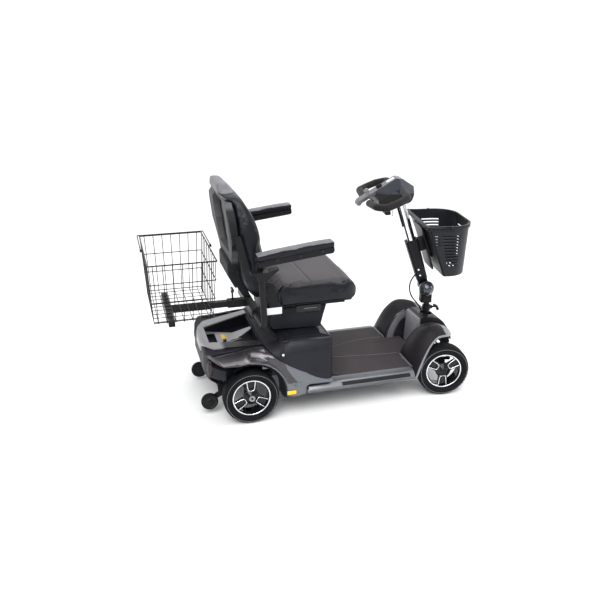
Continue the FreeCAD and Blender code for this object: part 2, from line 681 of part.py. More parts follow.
def front_shroud():
    """Turret round the steering head with a nose cap, open below."""
    profile = [(TURRET_X, 139), (812, 282), (840, 291), (912, 281), (934, 262), (952, 234), (962, 168), (950, 139)]
    plan = [(TURRET_X - 4, -36, 808, -58), (TURRET_X - 4, 36), (836, 66, 808, 58), (906, 66), (962, 96, 938, 76),
            (970, 0), (962, -96), (906, -66, 938, -76), (836, -66)]
    shapes = []
    for inset in (0.0, SKIN):
        shapes.append(prism_xz(profile, -FENDER_IN, FENDER_IN, inset).common(prism_xy(plan, 100, 320, inset)))
    shell = shapes[0].cut(shapes[1])
    shell = shell.cut(box(TURRET_X - 10, 980, -FENDER_IN, FENDER_IN, 130, 139 + SKIN + 2))
    rods = box(836, 928, -FENDER_IN, FENDER_IN, 100, 186)
    collar = Part.makeCylinder(STEM_R + 14, 80, V(STEER_X, 0, 250))
    return shell.cut([rods, collar])


def anti_tip_brackets():
    """Steel arms behind the rear wheels that carry the small anti-tip wheels."""
    y = ANTI_TIP_Y
    arm = [(-118, 150), (-96, 150), (-88, 90), (-96, 74), (ANTI_TIP_X + 12, ANTI_TIP_Z - 8),
           (ANTI_TIP_X - 12, ANTI_TIP_Z - 8, ANTI_TIP_X, ANTI_TIP_Z - 20),
           (ANTI_TIP_X, ANTI_TIP_Z + 12, ANTI_TIP_X - 14, ANTI_TIP_Z + 6), (-116, 92)]
    inner = prism_xz(arm, y - ANTI_TIP_W / 2 - 6, y - ANTI_TIP_W / 2 - 2)
    mount = box(-116, FRAME_REAR, RAIL_Y - 4, y - ANTI_TIP_W / 2 - 2, RAIL_Z0, RAIL_Z0 + RAIL_H)
    pin = rod(V(ANTI_TIP_X, y - ANTI_TIP_W / 2 - 4, ANTI_TIP_Z), V(ANTI_TIP_X, y + ANTI_TIP_W / 2 + 4, ANTI_TIP_Z), 5)
    head = rod(V(ANTI_TIP_X, y + ANTI_TIP_W / 2 + GAP, ANTI_TIP_Z),
               V(ANTI_TIP_X, y + ANTI_TIP_W / 2 + 5, ANTI_TIP_Z), 8)
    return both_sides(fuse(inner, mount, pin, head))


def anti_tip_wheel(side):
    half = ANTI_TIP_W / 2
    bore = 5 + RUN_FIT
    outline = [(-half, bore), (-half, 12), (-half + 3, 16), (-half + 3, 22), (-half, 26), (-half, ANTI_TIP_R - 4),
               (half, ANTI_TIP_R - 4, 0, ANTI_TIP_R + 1.5), (half, 26), (half - 3, 22), (half - 3, 16),
               (half, 12), (half, bore)]
    return revolve(outline, V(ANTI_TIP_X, ANTI_TIP_Y * side, ANTI_TIP_Z), side)


def freewheel_lever():
    """Drive release: an upright stem in the slot, on a cross pin below it."""
    base = V(FREE_X, FREE_Y, FREE_Z)
    stem = rod(base, base + Z * 43, 3.5)
    knob = fuse(rod(base + Z * 43, base + Z * 55, 7.5), Part.makeCone(7.5, 5, 4, base + Z * 55))
    hub = turned(rod(base - Y * 7, base + Y * 7, 8), base, Z, LEVER_TURN)
    return fuse(stem, knob, hub)


# ---- steering -------------------------------------------------------------------------------


def knuckle(side):
    """Fork on the kingpin with the wheel spindle and the steering arm."""
    x = WHEELBASE
    king = V(x, KING_Y * side, 0)
    low = WHEEL_R - KNUCKLE_HALF
    high = WHEEL_R + KNUCKLE_HALF
    face = KING_Y + KING_BOSS_R + 1
    pieces = [Part.makeCylinder(KING_R, 2 * KNUCKLE_HALF, king + Z * low)]
    for z in (low - KNUCKLE_T, high):
        pieces.append(Part.makeCylinder(KING_BOSS_R, KNUCKLE_T, king + Z * z))
        y0, y1 = sorted((KING_Y * side, (face + KNUCKLE_T) * side))
        pieces.append(box(x - KING_BOSS_R, x + KING_BOSS_R, y0, y1, z, z + KNUCKLE_T))
    y0, y1 = sorted((face * side, (face + KNUCKLE_T - 1) * side))
    pieces.append(box(x - KING_BOSS_R, x + KING_BOSS_R, y0, y1, low - KNUCKLE_T, high + KNUCKLE_T))
    pieces.append(axle_stub(V(x, FRONT_TRACK / 2 * side, WHEEL_R), side, face))
    pieces.append(box(x, x + ARM, KING_Y * side - 8, KING_Y * side + 8, high, high + KNUCKLE_T))
    pieces.append(Part.makeCylinder(10, KNUCKLE_T, king + X * ARM + Z * high))
    pieces.append(Part.makeCylinder(PIN_R, KNUCKLE_T + 14, king + X * ARM + Z * high))
    return fuse(*pieces)


def tie_rod():
    """Track rods to both knuckles, joined at the steering arm's pin."""
    z = ARM_PIN_Z + 6
    middle = V(STEER_X + ARM, 0, z)
    pieces = [Part.makeCylinder(11, 10, middle - Z * 5)]
    cuts = [Part.makeCylinder(PIN_R + RUN_FIT, 20, middle - Z * 10)]
    for side in (-1, 1):
        eye = V(WHEELBASE + ARM, KING_Y * side, z)
        pieces.append(rod(middle, eye, TIE_ROD_R))
        pieces.append(Part.makeCylinder(9, 10, eye - Z * 5))
        cuts.append(Part.makeCylinder(PIN_R + RUN_FIT, 20, eye - Z * 10))
    return fuse(*pieces).cut(cuts)


def steering_stem():
    """Shaft through the steering head, the steering arm below and the fold yoke on top."""
    axis = V(STEER_X, 0, 0)
    arm_z = ARM_PIN_Z - KNUCKLE_T
    shaft = Part.makeCylinder(STEM_R, YOKE_Z - HEAD_Z0 + 30, axis + Z * (HEAD_Z0 - 24))
    plate = fuse(Part.makeCylinder(20, KNUCKLE_T, axis + Z * (arm_z - GAP)),
                 box(STEER_X, STEER_X + ARM, -9, 9, arm_z - GAP, arm_z + KNUCKLE_T - GAP),
                 Part.makeCylinder(11, KNUCKLE_T, axis + X * ARM + Z * (arm_z - GAP)))
    pin = Part.makeCylinder(PIN_R, KNUCKLE_T + 14, axis + X * ARM + Z * (arm_z - GAP))
    collar = Part.makeCylinder(STEM_R + 6, 22, axis + Z * 301)
    rest = Part.makeCylinder(STEM_R + 9, 6, axis + Z * (HEAD_Z1 + GAP))
    yoke = round_edges(box(STEER_X - 32, STEER_X + 18, -TONGUE / 2 - CHEEK_T, TONGUE / 2 + CHEEK_T,
                           YOKE_Z, PIVOT_Z), 6, along(Z))
    pivot = V(PIVOT_X, 0, PIVOT_Z)
    cheeks = Part.makeCylinder(CHEEK_R, TONGUE + 2 * CHEEK_T, pivot - Y * (TONGUE / 2 + CHEEK_T), Y)
    stem = fuse(shaft, plate, pin, collar, rest, yoke, cheeks)
    room = Part.makeCylinder(CHEEK_R + 2, TONGUE + 0.2, pivot - Y * (TONGUE / 2 + 0.1), Y)
    above = box(PIVOT_X - 60, PIVOT_X + 60, -TONGUE / 2 - 0.1, TONGUE / 2 + 0.1, PIVOT_Z - 6, PIVOT_Z + 60)
    bore = Part.makeCylinder(STUD_R + RUN_FIT, 80, pivot - Y * 40, Y)
    lock = Part.makeCylinder(LOCK_R + RUN_FIT, 40, V(STEER_X, 0, LOCK_Z), X)
    return stem.cut([room, above, bore, lock])


def lock_pin():
    """Spring pin in the collar with a T handle; pulled out it frees the fold."""
    z = LOCK_Z
    start = V(STEER_X + 2, 0, z)
    tip = V(STEER_X + 44, 0, z)
    handle = bent([V(STEER_X + 46, -26, z - 3), V(STEER_X + 50, 0, z), V(STEER_X + 46, 26, z - 3)], 6.5, 60)
    flange = rod(V(STEER_X + STEM_R + 7, 0, z), V(STEER_X + STEM_R + 13, 0, z), 9)
    return fuse(rod(start, tip, LOCK_R), flange, handle)


# ---- tiller ---------------------------------------------------------------------------------
def lean(shape):
    """A piece drawn upright above the pivot, laid back to the tiller's angle."""
    return turned(shape, V(PIVOT_X, 0, PIVOT_Z), Y, -TILLER_LEAN)


def tiller_point(along_axis, ahead, left=0.0):
    a = math.radians(TILLER_LEAN)
    return V(PIVOT_X - along_axis * math.sin(a) + ahead * math.cos(a), left,
             PIVOT_Z + along_axis * math.cos(a) + ahead * math.sin(a))


def oblong(half_x, half_y, r, x, z):
    """Rounded rectangle across the tiller, as a wire."""
    face = round_edges(box(x - half_x, x + half_x, -half_y, half_y, z, z + 1), r, along(Z))
    return min(face.Faces, key=lambda f: f.CenterOfMass.z).OuterWire


def tiller_sleeve():
    low = oblong(SLEEVE_W_LOW / 2, SLEEVE_D / 2, 12, PIVOT_X, PIVOT_Z + 34)
    top = oblong(SLEEVE_W_TOP / 2, SLEEVE_D / 2, 12, PIVOT_X, PIVOT_Z + SLEEVE_LEN)
    body = loft([low, top])
    tongue = Part.makeCylinder(CHEEK_R - 1, TONGUE, V(PIVOT_X, -TONGUE / 2, PIVOT_Z), Y)
    neck = box(PIVOT_X - CHEEK_R + 2, PIVOT_X + CHEEK_R - 2, -TONGUE / 2, TONGUE / 2, PIVOT_Z, PIVOT_Z + 40)
    latch = round_edges(box(PIVOT_X - SLEEVE_W_TOP / 2 + 8, PIVOT_X - SLEEVE_W_TOP / 2 + 26, -SLEEVE_D / 2 - 4,
                            -SLEEVE_D / 2 + 2, PIVOT_Z + SLEEVE_LEN - 40, PIVOT_Z + SLEEVE_LEN - 8), 3, along(Y))
    sleeve = fuse(body, tongue, neck, latch)
    bore = Part.makeCylinder(TILLER_TUBE_R, SLEEVE_LEN, V(PIVOT_X, 0, PIVOT_Z + SLEEVE_LEN - TUBE_IN))
    stud = Part.makeCylinder(STUD_R + RUN_FIT, 80, V(PIVOT_X, -40, PIVOT_Z), Y)
    route = cable_route()
    out = (route[1] - route[0]).normalize()
    entry = rod(route[0] - out * 6, route[0] + out * 12, CABLE_R + 0.4)
    return lean(sleeve.cut([bore, stud])).cut(entry)


def tiller_tube():
    start = V(PIVOT_X, 0, PIVOT_Z + SLEEVE_LEN - TUBE_IN)
    length = TILLER_LEN - SLEEVE_LEN + TUBE_IN
    tube = Part.makeCylinder(TILLER_TUBE_R, length, start)
    return lean(tube.cut(Part.makeCylinder(TILLER_TUBE_R - 2, length, start)))


def tiller_knob():
    """Large round clamp knob on the pivot stud, on the rider's right."""
    out = TONGUE / 2 + CHEEK_T + GAP
    outline = [(0, STUD_R), (0, 14), (8, 16), (12, KNOB_R - 8), (17, KNOB_R - 2), (28, KNOB_R),
               (40, KNOB_R - 5), (50, KNOB_R - 14), (56, KNOB_R - 24), (58, 0), (-out * 2, 0), (-out * 2, STUD_R)]
    return revolve(outline, V(PIVOT_X, -out, PIVOT_Z), -1)


def basket_bracket():
    """Block on the sleeve and the plate behind the front basket."""
    block = box(PIVOT_X + SLEEVE_W_TOP / 2 - 2, PIVOT_X + SLEEVE_W_TOP / 2 + 16, -20, 20,
                PIVOT_Z + SLEEVE_LEN - 60, PIVOT_Z + SLEEVE_LEN - 6)
    plate = round_edges(box(PIVOT_X + SLEEVE_W_TOP / 2 + 16, PIVOT_X + SLEEVE_W_TOP / 2 + 22, -62, 62,
                            PIVOT_Z + SLEEVE_LEN - 148, PIVOT_Z + SLEEVE_LEN + 62), 12, along(X))
    hooks = []
    for side in (-1, 1):
        for up in (PIVOT_Z + SLEEVE_LEN + 40, PIVOT_Z + SLEEVE_LEN - 80):
            hooks.append(box(PIVOT_X + SLEEVE_W_TOP / 2 + 22, PIVOT_X + SLEEVE_W_TOP / 2 + 27,
                             side * 40 - 8, side * 40 + 8, up - 6, up + 6))
    bracket = lean(fuse(block, plate, *hooks))
    sleeve = lean(loft([oblong(SLEEVE_W_LOW / 2, SLEEVE_D / 2, 12, PIVOT_X, PIVOT_Z + 34),
                        oblong(SLEEVE_W_TOP / 2, SLEEVE_D / 2, 12, PIVOT_X, PIVOT_Z + SLEEVE_LEN)]))
    return bracket.cut(sleeve)


def head_plan():
    return [(530, -52), (600, -HEAD_HALF), (730, -HEAD_HALF), (782, -54, 770, -70), (790, 0), (782, 54),
            (730, HEAD_HALF, 770, 70), (600, HEAD_HALF), (530, 52), (524, 0)]


def roof(back, front):
    """Ridge-shaped room whose top runs through two points of the side view."""
    reach = V(front[0] - back[0], 0, front[1] - back[1])
    start = V(back[0], 0, back[1]) - reach * 2
    ring = [(-STRIP_HALF, 0), (STRIP_HALF, 0), (HEAD_HALF, -ROOF_DROP), (HEAD_HALF, -300), (-HEAD_HALF, -300),
            (-HEAD_HALF, -ROOF_DROP)]
    outline = wire(ring, lambda a, b: start + V(0, a, b))
    return Part.Face(outline).extrude(reach * 5)


def console_room():
    low = [(x, z - CONSOLE_T) for x, z in reversed(HEAD_TOP[1:])]
    nose = [(HEAD_TOP[0][0] + 9, HEAD_TOP[0][1] - 11), (HEAD_NOSE[1][0] + 13, HEAD_NOSE[1][1]), HEAD_NOSE[1]]
    profile = [HEAD_TOP[0] + HEAD_NOSE[0]] + HEAD_TOP[1:] + low + nose
    return prism_xz(profile, -STRIP_HALF, STRIP_HALF).common(prism_xy(head_plan(), 700, 1000))


def head_shell():
    """Lower housing with side panels that slope away from the console strip."""
    profile = [HEAD_TOP[0] + HEAD_NOSE[1]] + HEAD_TOP[1:] + [(766, 838), (742, 818, 757, 826), (700, 806), (578, 786)]
    shell = prism_xz(profile, -HEAD_HALF, HEAD_HALF).common(prism_xy(head_plan(), 700, 1000))
    shell = shell.common(roof(HEAD_TOP[0], HEAD_TOP[1])).common(roof(HEAD_TOP[2], HEAD_TOP[3]))
    tube = lean(Part.makeCylinder(TILLER_TUBE_R, TILLER_LEN - 200, V(PIVOT_X, 0, PIVOT_Z + 200)))
    lever_room = fuse(box(604, 676, -HEAD_HALF, HEAD_HALF, 780, 814), Part.makeCylinder(13, 50, V(640, 0, 776)))
    return shell.cut([console_room(), tube, lever_room, headlamp_solid(0.2), horn_room(), key_room()])


def head_console():
    """Silver strip that carries the gauge, the speed dial and the key."""
    top = console_room()
    tube = lean(Part.makeCylinder(TILLER_TUBE_R, TILLER_LEN - 200, V(PIVOT_X, 0, PIVOT_Z + 200)))
    return top.cut([gauge_solid(0.0), dial_room(), key_room(), tube])


def on_console(shape, u, left=0.0):
    """Seats a piece drawn about the origin on the console, u along its sloping top."""
    a = math.atan2(HEAD_TOP[1][1] - HEAD_TOP[0][1], HEAD_TOP[1][0] - HEAD_TOP[0][0])
    copy = turned(shape, V(0, 0, 0), Y, -math.degrees(a))
    copy.translate(V(HEAD_TOP[0][0] + u * math.cos(a), left, HEAD_TOP[0][1] + u * math.sin(a)))
    return copy


def dial_room():
    return on_console(Part.makeCylinder(DIAL_R + 1, 8, V(0, 0, -6)), DIAL_U)


def speed_dial():
    knob = fuse(Part.makeCylinder(DIAL_R, 12, V(0, 0, -5.5)), box(-DIAL_R + 1, DIAL_R - 1, -2, 2, 6, 10))
    return on_console(knob, DIAL_U)


def key_room():
    return on_console(Part.makeCylinder(4 + RUN_FIT, 30, V(0, 0, -12)), KEY_U)


def ignition_key():
    blade = Part.makeCylinder(4, 13, V(0, 0, -11))
    bow = round_edges(box(-10, 10, -2, 2, 2, 24), 6, along(Y))
    return on_console(fuse(blade, bow), KEY_U)


def horn_room():
    return Part.makeCylinder(HORN_R + RUN_FIT, 60, V(HORN_X, HORN_Y, HORN_Z))


def horn_button():
    return Part.makeCylinder(HORN_R, 13, V(HORN_X, HORN_Y, HORN_Z + HORN_TRAVEL + GAP))


def gauge_solid(clearance):
    block = box(-19 - clearance, 19 + clearance, -12 - clearance, 12 + clearance, -4, 1.5)
    return on_console(round_edges(block, 11, along(Z)), GAUGE_U)


def headlamp_solid(clearance):
    r = 17 + clearance
    start = V(746, 0, 848)
    lamp = Part.makeCylinder(r, 26, start, V(1, 0, 0.28))
    return lamp


def head_lenses():
    """Charge gauge window on the console and the headlamp lens in the nose of the head."""
    return Part.makeCompound([gauge_solid(0.0), headlamp_solid(0.0)])


def hand_grips():
    """Closed loop on each side of the head."""
    side = bent([V(720, HEAD_HALF - 14, 874), V(713, 178, 866), V(671, 206, 852), V(620, 206, 832),
                 V(587, 168, 828), V(582, HEAD_HALF - 20, 819)], GRIP_R, 26)
    head = fuse(head_shell(), head_console())
    side = side.cut(head)
    solid = max(side.Solids, key=lambda s: s.Volume)
    return both_sides(solid)


def throttle_lever():
    """Rocking lever under the head with a paddle inside each hand loop."""
    hub = rod(V(640, 0, 790), V(640, 0, 822), 12)
    beam = box(632, 648, -96, 96, 792, 802)
    pieces = [hub, beam]
    for side in (-1, 1):
        y0, y1 = sorted((84 * side, 150 * side))
        pieces.append(round_edges(box(628, 652, y0, y1, 789, 805), 5, along(Y)))
    return fuse(*pieces)


# ---- front basket ---------------------------------------------------------------------------


def basket_outline(size, inset, z):
    x0, x1, half = size[0] + inset, size[1] - inset, size[2] - inset
    front = min(92.0, x1 - x0 - 16)
    points = [(x0, -half + 12), (x0 + 12, -half, x0 + 3.5, -half + 3.5), (x1 - front, -half),
              (x1, -half + front, x1 - front * 0.293, -half + front * 0.293),
              (x1, half - front), (x1 - front, half, x1 - front * 0.293, half - front * 0.293),
              (x0 + 12, half), (x0, half - 12, x0 + 3.5, half - 3.5)]
    return wire(points, lambda a, b: V(a, b, z))


def basket_shape(inset, z_low):
    return loft([basket_outline(BASKET_BASE, inset, z_low), basket_outline(BASKET_TOP, inset, BASKET_TOP[3])])


def front_basket():
    """Moulded basket that widens upward, with rows of slots and a rolled rim."""
    shell = basket_shape(0.0, BASKET_BASE[3])
    rim_size = (BASKET_TOP[0] - 4, BASKET_TOP[1] + 4, BASKET_TOP[2] + 4)
    rim = Part.Face(basket_outline(rim_size, 0, BASKET_TOP[3] - 16)).extrude(Z * 16)
    shell = fuse(shell, rim)
    hollow = loft([basket_outline(BASKET_BASE, BASKET_WALL, BASKET_BASE[3] + BASKET_WALL),
                   basket_outline(BASKET_TOP, BASKET_WALL, BASKET_TOP[3] + 0.5)])
    shell = shell.cut(hollow)
    slots = []
    for i in range(SLOT_ROWS):
        z = BASKET_TOP[3] - 46 - i * SLOT_PITCH
        x0 = 880 + i * 3.4
        slots.append(box(x0, 960, -200, 200, z - SLOT_H / 2, z + SLOT_H / 2))
        slots.append(box(980, 1100, -52, 52, z - SLOT_H / 2, z + SLOT_H / 2))
        if i < 4:
            slots.append(box(x0 - 34, x0 - 12, -200, 200, z - SLOT_H / 2, z + SLOT_H / 2))
    for i in range(5):
        x = BASKET_BASE[0] + 20 + i * 18
        slots.append(box(x - 4, x + 4, -70, 70, 490, 520))
    basket = shell.cut(slots)
    boss = rod(V(HANDLE_X, BASKET_TOP[2] + 4, HANDLE_Z), V(HANDLE_X, BASKET_TOP[2] + 12, HANDLE_Z), 5)
    hooks = basket_hooks()
    return fuse(basket, boss, mirrored(boss), *hooks)


def basket_hooks():
    """Two ribs on the back of the basket that seat on the bracket plate."""
    ribs = []
    for y in (-24, 24):
        rib = [(824, 700), (831, 700), (884, 562), (877, 562)]
        ribs.append(prism_xz(rib, y - 4, y + 4))
    return ribs


def front_basket_handle():
    """Carrying bail, lying back on the rim."""
    half = BASKET_TOP[2] + 9
    pts = [V(HANDLE_X, -half, HANDLE_Z), V(BASKET_TOP[0] - 16, -half, HANDLE_Z + 6),
           V(BASKET_TOP[0] - 16, half, HANDLE_Z + 6), V(HANDLE_X, half, HANDLE_Z)]
    bail = bent(pts, 3.5, 20)
    eyes = []
    for side in (-1, 1):
        eyes.append(rod(V(HANDLE_X, side * (half - 3), HANDLE_Z), V(HANDLE_X, side * (half + 4), HANDLE_Z), 9))
    bail = fuse(bail, *eyes)
    pin = rod(V(HANDLE_X, -half - 9, HANDLE_Z), V(HANDLE_X, half + 9, HANDLE_Z), 5 + RUN_FIT)
    return bail.cut(pin)


# ---- tiller cable ---------------------------------------------------------------------------


def cable_route():
    """Slack loop from the back of the sleeve down into the turret, in the plane of the tiller."""
    exit_point = tiller_point(62.0, -SLEEVE_W_LOW / 2 + 0.6)
    return [exit_point, V(806, -1, 456), V(796, -2, 431), V(795, -3, 400), V(808, -4, 366), V(832, -3, 338),
            V(853, -2, 311), V(860, 0, 282), V(862, 0, HEAD_Z1 + 2 * GAP + 6)]


def cable_radii(points):
    """Each bend as large as its two runs allow."""
    radii = []
    for i in range(1, len(points) - 1):
        back = points[i] - points[i - 1]
        ahead = points[i + 1] - points[i]
        run = min(back.Length, ahead.Length)
        radii.append(0.45 * run / math.tan(back.getAngle(ahead) / 2))
    return radii


def tiller_cable():
    points = cable_route()
    radii = cable_radii(points)
    path = rounded_route(points, radii)
    cable = tube_on(path, CABLE_R)
    print("cable radii", [round(r, 1) for r in radii], "length", round(path.Length, 1))
    print("cable volume ratio", round(cable.Volume / (math.pi * CABLE_R ** 2 * path.Length), 4))
    return cable


# ---- seat -----------------------------------------------------------------------------------


def seat_post():
    foot = 190.0
    tube = Part.makeCylinder(POST_R, POST_TOP - foot, V(SOCKET_X, 0, foot))
    tube = tube.cut(Part.makeCylinder(POST_R - 3, POST_TOP - foot - 10, V(SOCKET_X, 0, foot)))
    flange = Part.makeCylinder(POST_R + 8, 5, V(SOCKET_X, 0, POST_TOP))
    pin = Part.makeCylinder(SWIVEL_R, PAN_Z - POST_TOP - 10, V(SOCKET_X, 0, POST_TOP))
    return fuse(tube, flange, pin)


def clamp_screws():
    """Knob screws under the cross tube, one for each armrest."""
    screws = []
    for side in (-1, 1):
        base = V(CROSS_X, 70 * side, CROSS_Z - CROSS_HALF)
        stud = Part.makeCylinder(4, 14, base - Z * 14)
        head = Part.makeCylinder(14, 16, base - Z * 30)
        screws.append(fuse(stud, head))
    return screws


def seat_frame():
    """Seat pan with swivel hub, rear cross tube, basket receiver and backrest hinge plates."""
    pieces = [box(118, 440, -205, 205, PAN_Z, PAN_Z + SEAT_PAN_T)]
    hub_z = POST_TOP + 5 + GAP
    pieces.append(Part.makeCylinder(HUB_OUTER, PAN_Z - hub_z, V(SOCKET_X, 0, hub_z)))
    for side in (-1, 1):
        y = 150 * side
        pieces.append(box(118, 425, y - 14, y + 14, BOX_TOP, PAN_Z))
        arm = [(CROSS_X - CROSS_HALF, CROSS_Z - CROSS_HALF), (CROSS_X + CROSS_HALF, CROSS_Z - CROSS_HALF),
               (150, BOX_TOP + 4), (150, PAN_Z + SEAT_PAN_T), (118, PAN_Z + SEAT_PAN_T),
               (CROSS_X - CROSS_HALF, CROSS_Z + CROSS_HALF)]
        pieces.append(prism_xz(arm, y - 4, y + 4))
        y0, y1 = sorted((PLATE_IN * side, (PLATE_IN + PLATE_T) * side))
        plate = [(98, PAN_Z - 5), (142, PAN_Z - 5), (138, PAN_Z + 20), (116, 530, 124, 505), (HINGE_X + 24, HINGE_Z),
                 (HINGE_X - 24, HINGE_Z, HINGE_X, HINGE_Z + 24), (HINGE_X - 14, 545), (90, 500)]
        pieces.append(prism_xz(plate, y0, y1))
    pieces.append(box(98, 142, -PLATE_IN - PLATE_T, PLATE_IN + PLATE_T, PAN_Z - 5, PAN_Z))
    half = CROSS_HALF
    pieces.append(box(CROSS_X - half, CROSS_X + half, -155, 155, CROSS_Z - half, CROSS_Z + half))
    pieces.append(box(RECEIVER_X, CROSS_X, -half, half, CROSS_Z - half, CROSS_Z + half))
    frame = fuse(*pieces)
    cuts = [Part.makeCylinder(SWIVEL_R + RUN_FIT, PAN_Z - POST_TOP - 6, V(SOCKET_X, 0, POST_TOP - 1))]
    bore = ARM_TUBE_R + RUN_FIT
    cuts.append(rod(V(CROSS_X, 30, CROSS_Z), V(CROSS_X, 160, CROSS_Z), bore))
    cuts.append(rod(V(CROSS_X, -160, CROSS_Z), V(CROSS_X, -30, CROSS_Z), bore))
    fit = BEAM / 2 + RUN_FIT
    cuts.append(box(RECEIVER_X - 1, BEAM_FRONT + 1, -fit, fit, CROSS_Z - fit, CROSS_Z + fit))
    cuts.append(rod(V(HINGE_X, -300, HINGE_Z), V(HINGE_X, 300, HINGE_Z), HINGE_PIN_R + RUN_FIT))
    cuts.append(Part.makeCylinder(KNOB_STUD_R + RUN_FIT, 40, V(KNOB_X, 0, CROSS_Z)))
    cuts.append(Part.makeCylinder(4 + RUN_FIT, 20, V(LEVER_X, LEVER_Y, PAN_Z - 10)))
    cuts.append(box(100, LEVER_X + 14, -166, -134, BOX_TOP - 1, PAN_Z - 12))
    return Part.makeCompound([frame.cut(cuts)] + clamp_screws())


def storage_box():
    """Tapered plastic box that hides the swivel, with a grip recess on each side."""
    profile = [(347, BOX_TOP - 1), (323, 358, 334, 400), (315, 352), (118, 360), (110, 368), (100, BOX_TOP - 1)]
    plan = [(90, -BOX_HALF), (352, -BOX_HALF), (352, BOX_HALF), (90, BOX_HALF)]
    shapes = []
    for inset in (0.0, SKIN):
        side = prism_xz(profile, -BOX_HALF + inset, BOX_HALF - inset, inset)
        shapes.append(side.common(prism_xy(plan, 300, 500)))
    shell = round_edges(shapes[0], 14, lambda e: e.BoundBox.YLength < 1 and e.BoundBox.ZLength > 60
                        and e.BoundBox.XMax > 300)
    shell = shell.cut(shapes[1].cut(box(0, 1000, -BOX_HALF, BOX_HALF, 0, 365)))
    shell = shell.cut(box(112, 330, -BOX_HALF + 10, BOX_HALF - 10, 440, 450))
    hub = Part.makeCylinder(HUB_OUTER + 2, 100, V(SOCKET_X, 0, 340))
    cuts = [hub]
    for side in (-1, 1):
        y0, y1 = sorted(((BOX_HALF + 1) * side, (BOX_HALF - 2) * side))
        cuts.append(round_edges(box(252, 330, y0, y1, 418, 438), 4, along(Y)))
        cuts.append(box(90, 124, 150 * side - 5, 150 * side + 5, 424, 460))
    return shell.cut(cuts)


def seat_cushion():
    profile = [(122, PAN_Z + SEAT_PAN_T + GAP), (118, 545), (136, SEAT_TOP - 1), (300, SEAT_TOP),
               (396, SEAT_TOP - 2), (478, 508, 462, 544), (474, 488), (455, 478), (440, PAN_Z + SEAT_PAN_T + GAP)]
    body = prism_xz(profile, -SEAT_HALF, SEAT_HALF)
    plan = [(100, -SEAT_HALF), (412, -SEAT_HALF), (480, -SEAT_HALF + 68, 461, -SEAT_HALF + 19),
            (480, SEAT_HALF - 68), (412, SEAT_HALF, 461, SEAT_HALF - 19), (100, SEAT_HALF)]
    return body.common(prism_xy(plan, 400, 600))


def mirror_outline(right):
    """Closed front view from its right half, listed upward from the bottom."""
    left = []
    for i in range(len(right) - 1, -1, -1):
        bend = right[i + 1] if i + 1 < len(right) and len(right[i + 1]) == 4 else None
        tail = (-bend[2], bend[3]) if bend else ()
        left.append((-right[i][0], right[i][1]) + tail)
    return right + left


def backrest_shell():
    """Moulded back shell with a wide recess, the hinge ears and the map pouch."""
    profile = [(31, 463), (-34, 604, -12, 530), (-50, 740), (-65, 866), (-58, 898), (-38, 896), (-24, 740),
               (-8, 604), (34, 510, 8, 548), (44, 470)]
    outline = mirror_outline([(50, 463), (92, 505, 80, 478), (120, 600), (150, 670), (BACK_HALF - 2, 752),
                              (BACK_HALF - 6, 800), (188, 880, 224, 850), (142, 930)])
    body = prism_xz(profile, -BACK_HALF, BACK_HALF).common(prism_yz(outline, -150, 150))
    window = prism_yz([(-105, 680), (105, 680), (125, 770, 124, 715), (84, 884, 118, 862), (-84, 884),
                       (-125, 770, -118, 862), (-105, 680, -124, 715)], -150, 150)
    body = body.cut(window)
    pouch = round_edges(box(-50, -16, -108, 108, 532, 640), 12, lambda e: e.BoundBox.XMax < -49)
    pouch = pouch.common(prism_xz([(-60, 600), (-24, 532), (0, 532), (0, 640), (-52, 640)], -110, 110))
    ears = []
    for side in (-1, 1):
        y0, y1 = sorted(((BACK_HALF - 3) * side, (PLATE_IN - 1) * side))
        ear = [(-16, 640), (40, 566), (HINGE_X, HINGE_Z - 18), (HINGE_X, HINGE_Z + 18, HINGE_X + 18, HINGE_Z),
               (16, 636), (-20, 782), (-46, 782)]
        ears.append(prism_xz(ear, y0, y1))
        stub = sorted(((BACK_HALF - 3) * side, (PLATE_IN + PLATE_T + 3) * side))
        ears.append(rod(V(HINGE_X, stub[0], HINGE_Z), V(HINGE_X, stub[1], HINGE_Z), HINGE_PIN_R))
    return fuse(body, pouch, *ears)


def backrest_cushion():
    """Padded back with side bolsters and a raised head pad."""
    profile = [(47, 480), (38, 512), (-5, 606, 11, 552), (-21, 742), (-35, 899), (-60, 903), (-80, 916),
               (-90, 944), (-83, 957), (-43, 957), (-31, 938), (-3, 912), (33, 854), (63, 735, 54, 796),
               (80, 640), (84, 560), (70, 486)]
    half = BACK_HALF - 4
    outline = mirror_outline([(60, 480), (half - 45, 510, 130, 484), (half, 610, half - 8, 550), (half, 745),
                              (205, 870, half - 10, 812), (146, 922, 190, 900), (104, 934), (94, 957)])
    return prism_xz(profile, -half, half).common(prism_yz(outline, -150, 150))


def swivel_lever():
    """Release lever under the right edge of the seat, on an upright pin in the seat pan."""
    z = PAN_Z - 16
    pin = Part.makeCylinder(4, PAN_Z - z - 1, V(LEVER_X, LEVER_Y, z))
    eye = Part.makeCylinder(9, 6, V(LEVER_X, LEVER_Y, z - 3))
    blade = prism_xy([(LEVER_X - 6, LEVER_Y), (LEVER_X + 6, LEVER_Y), (114, -228), (102, -228)], z - 3, z + 1)
    grip = round_edges(box(86, 128, -254, -224, z - 7, z + 4), 5, along(Z))
    return fuse(pin, eye, blade, grip)


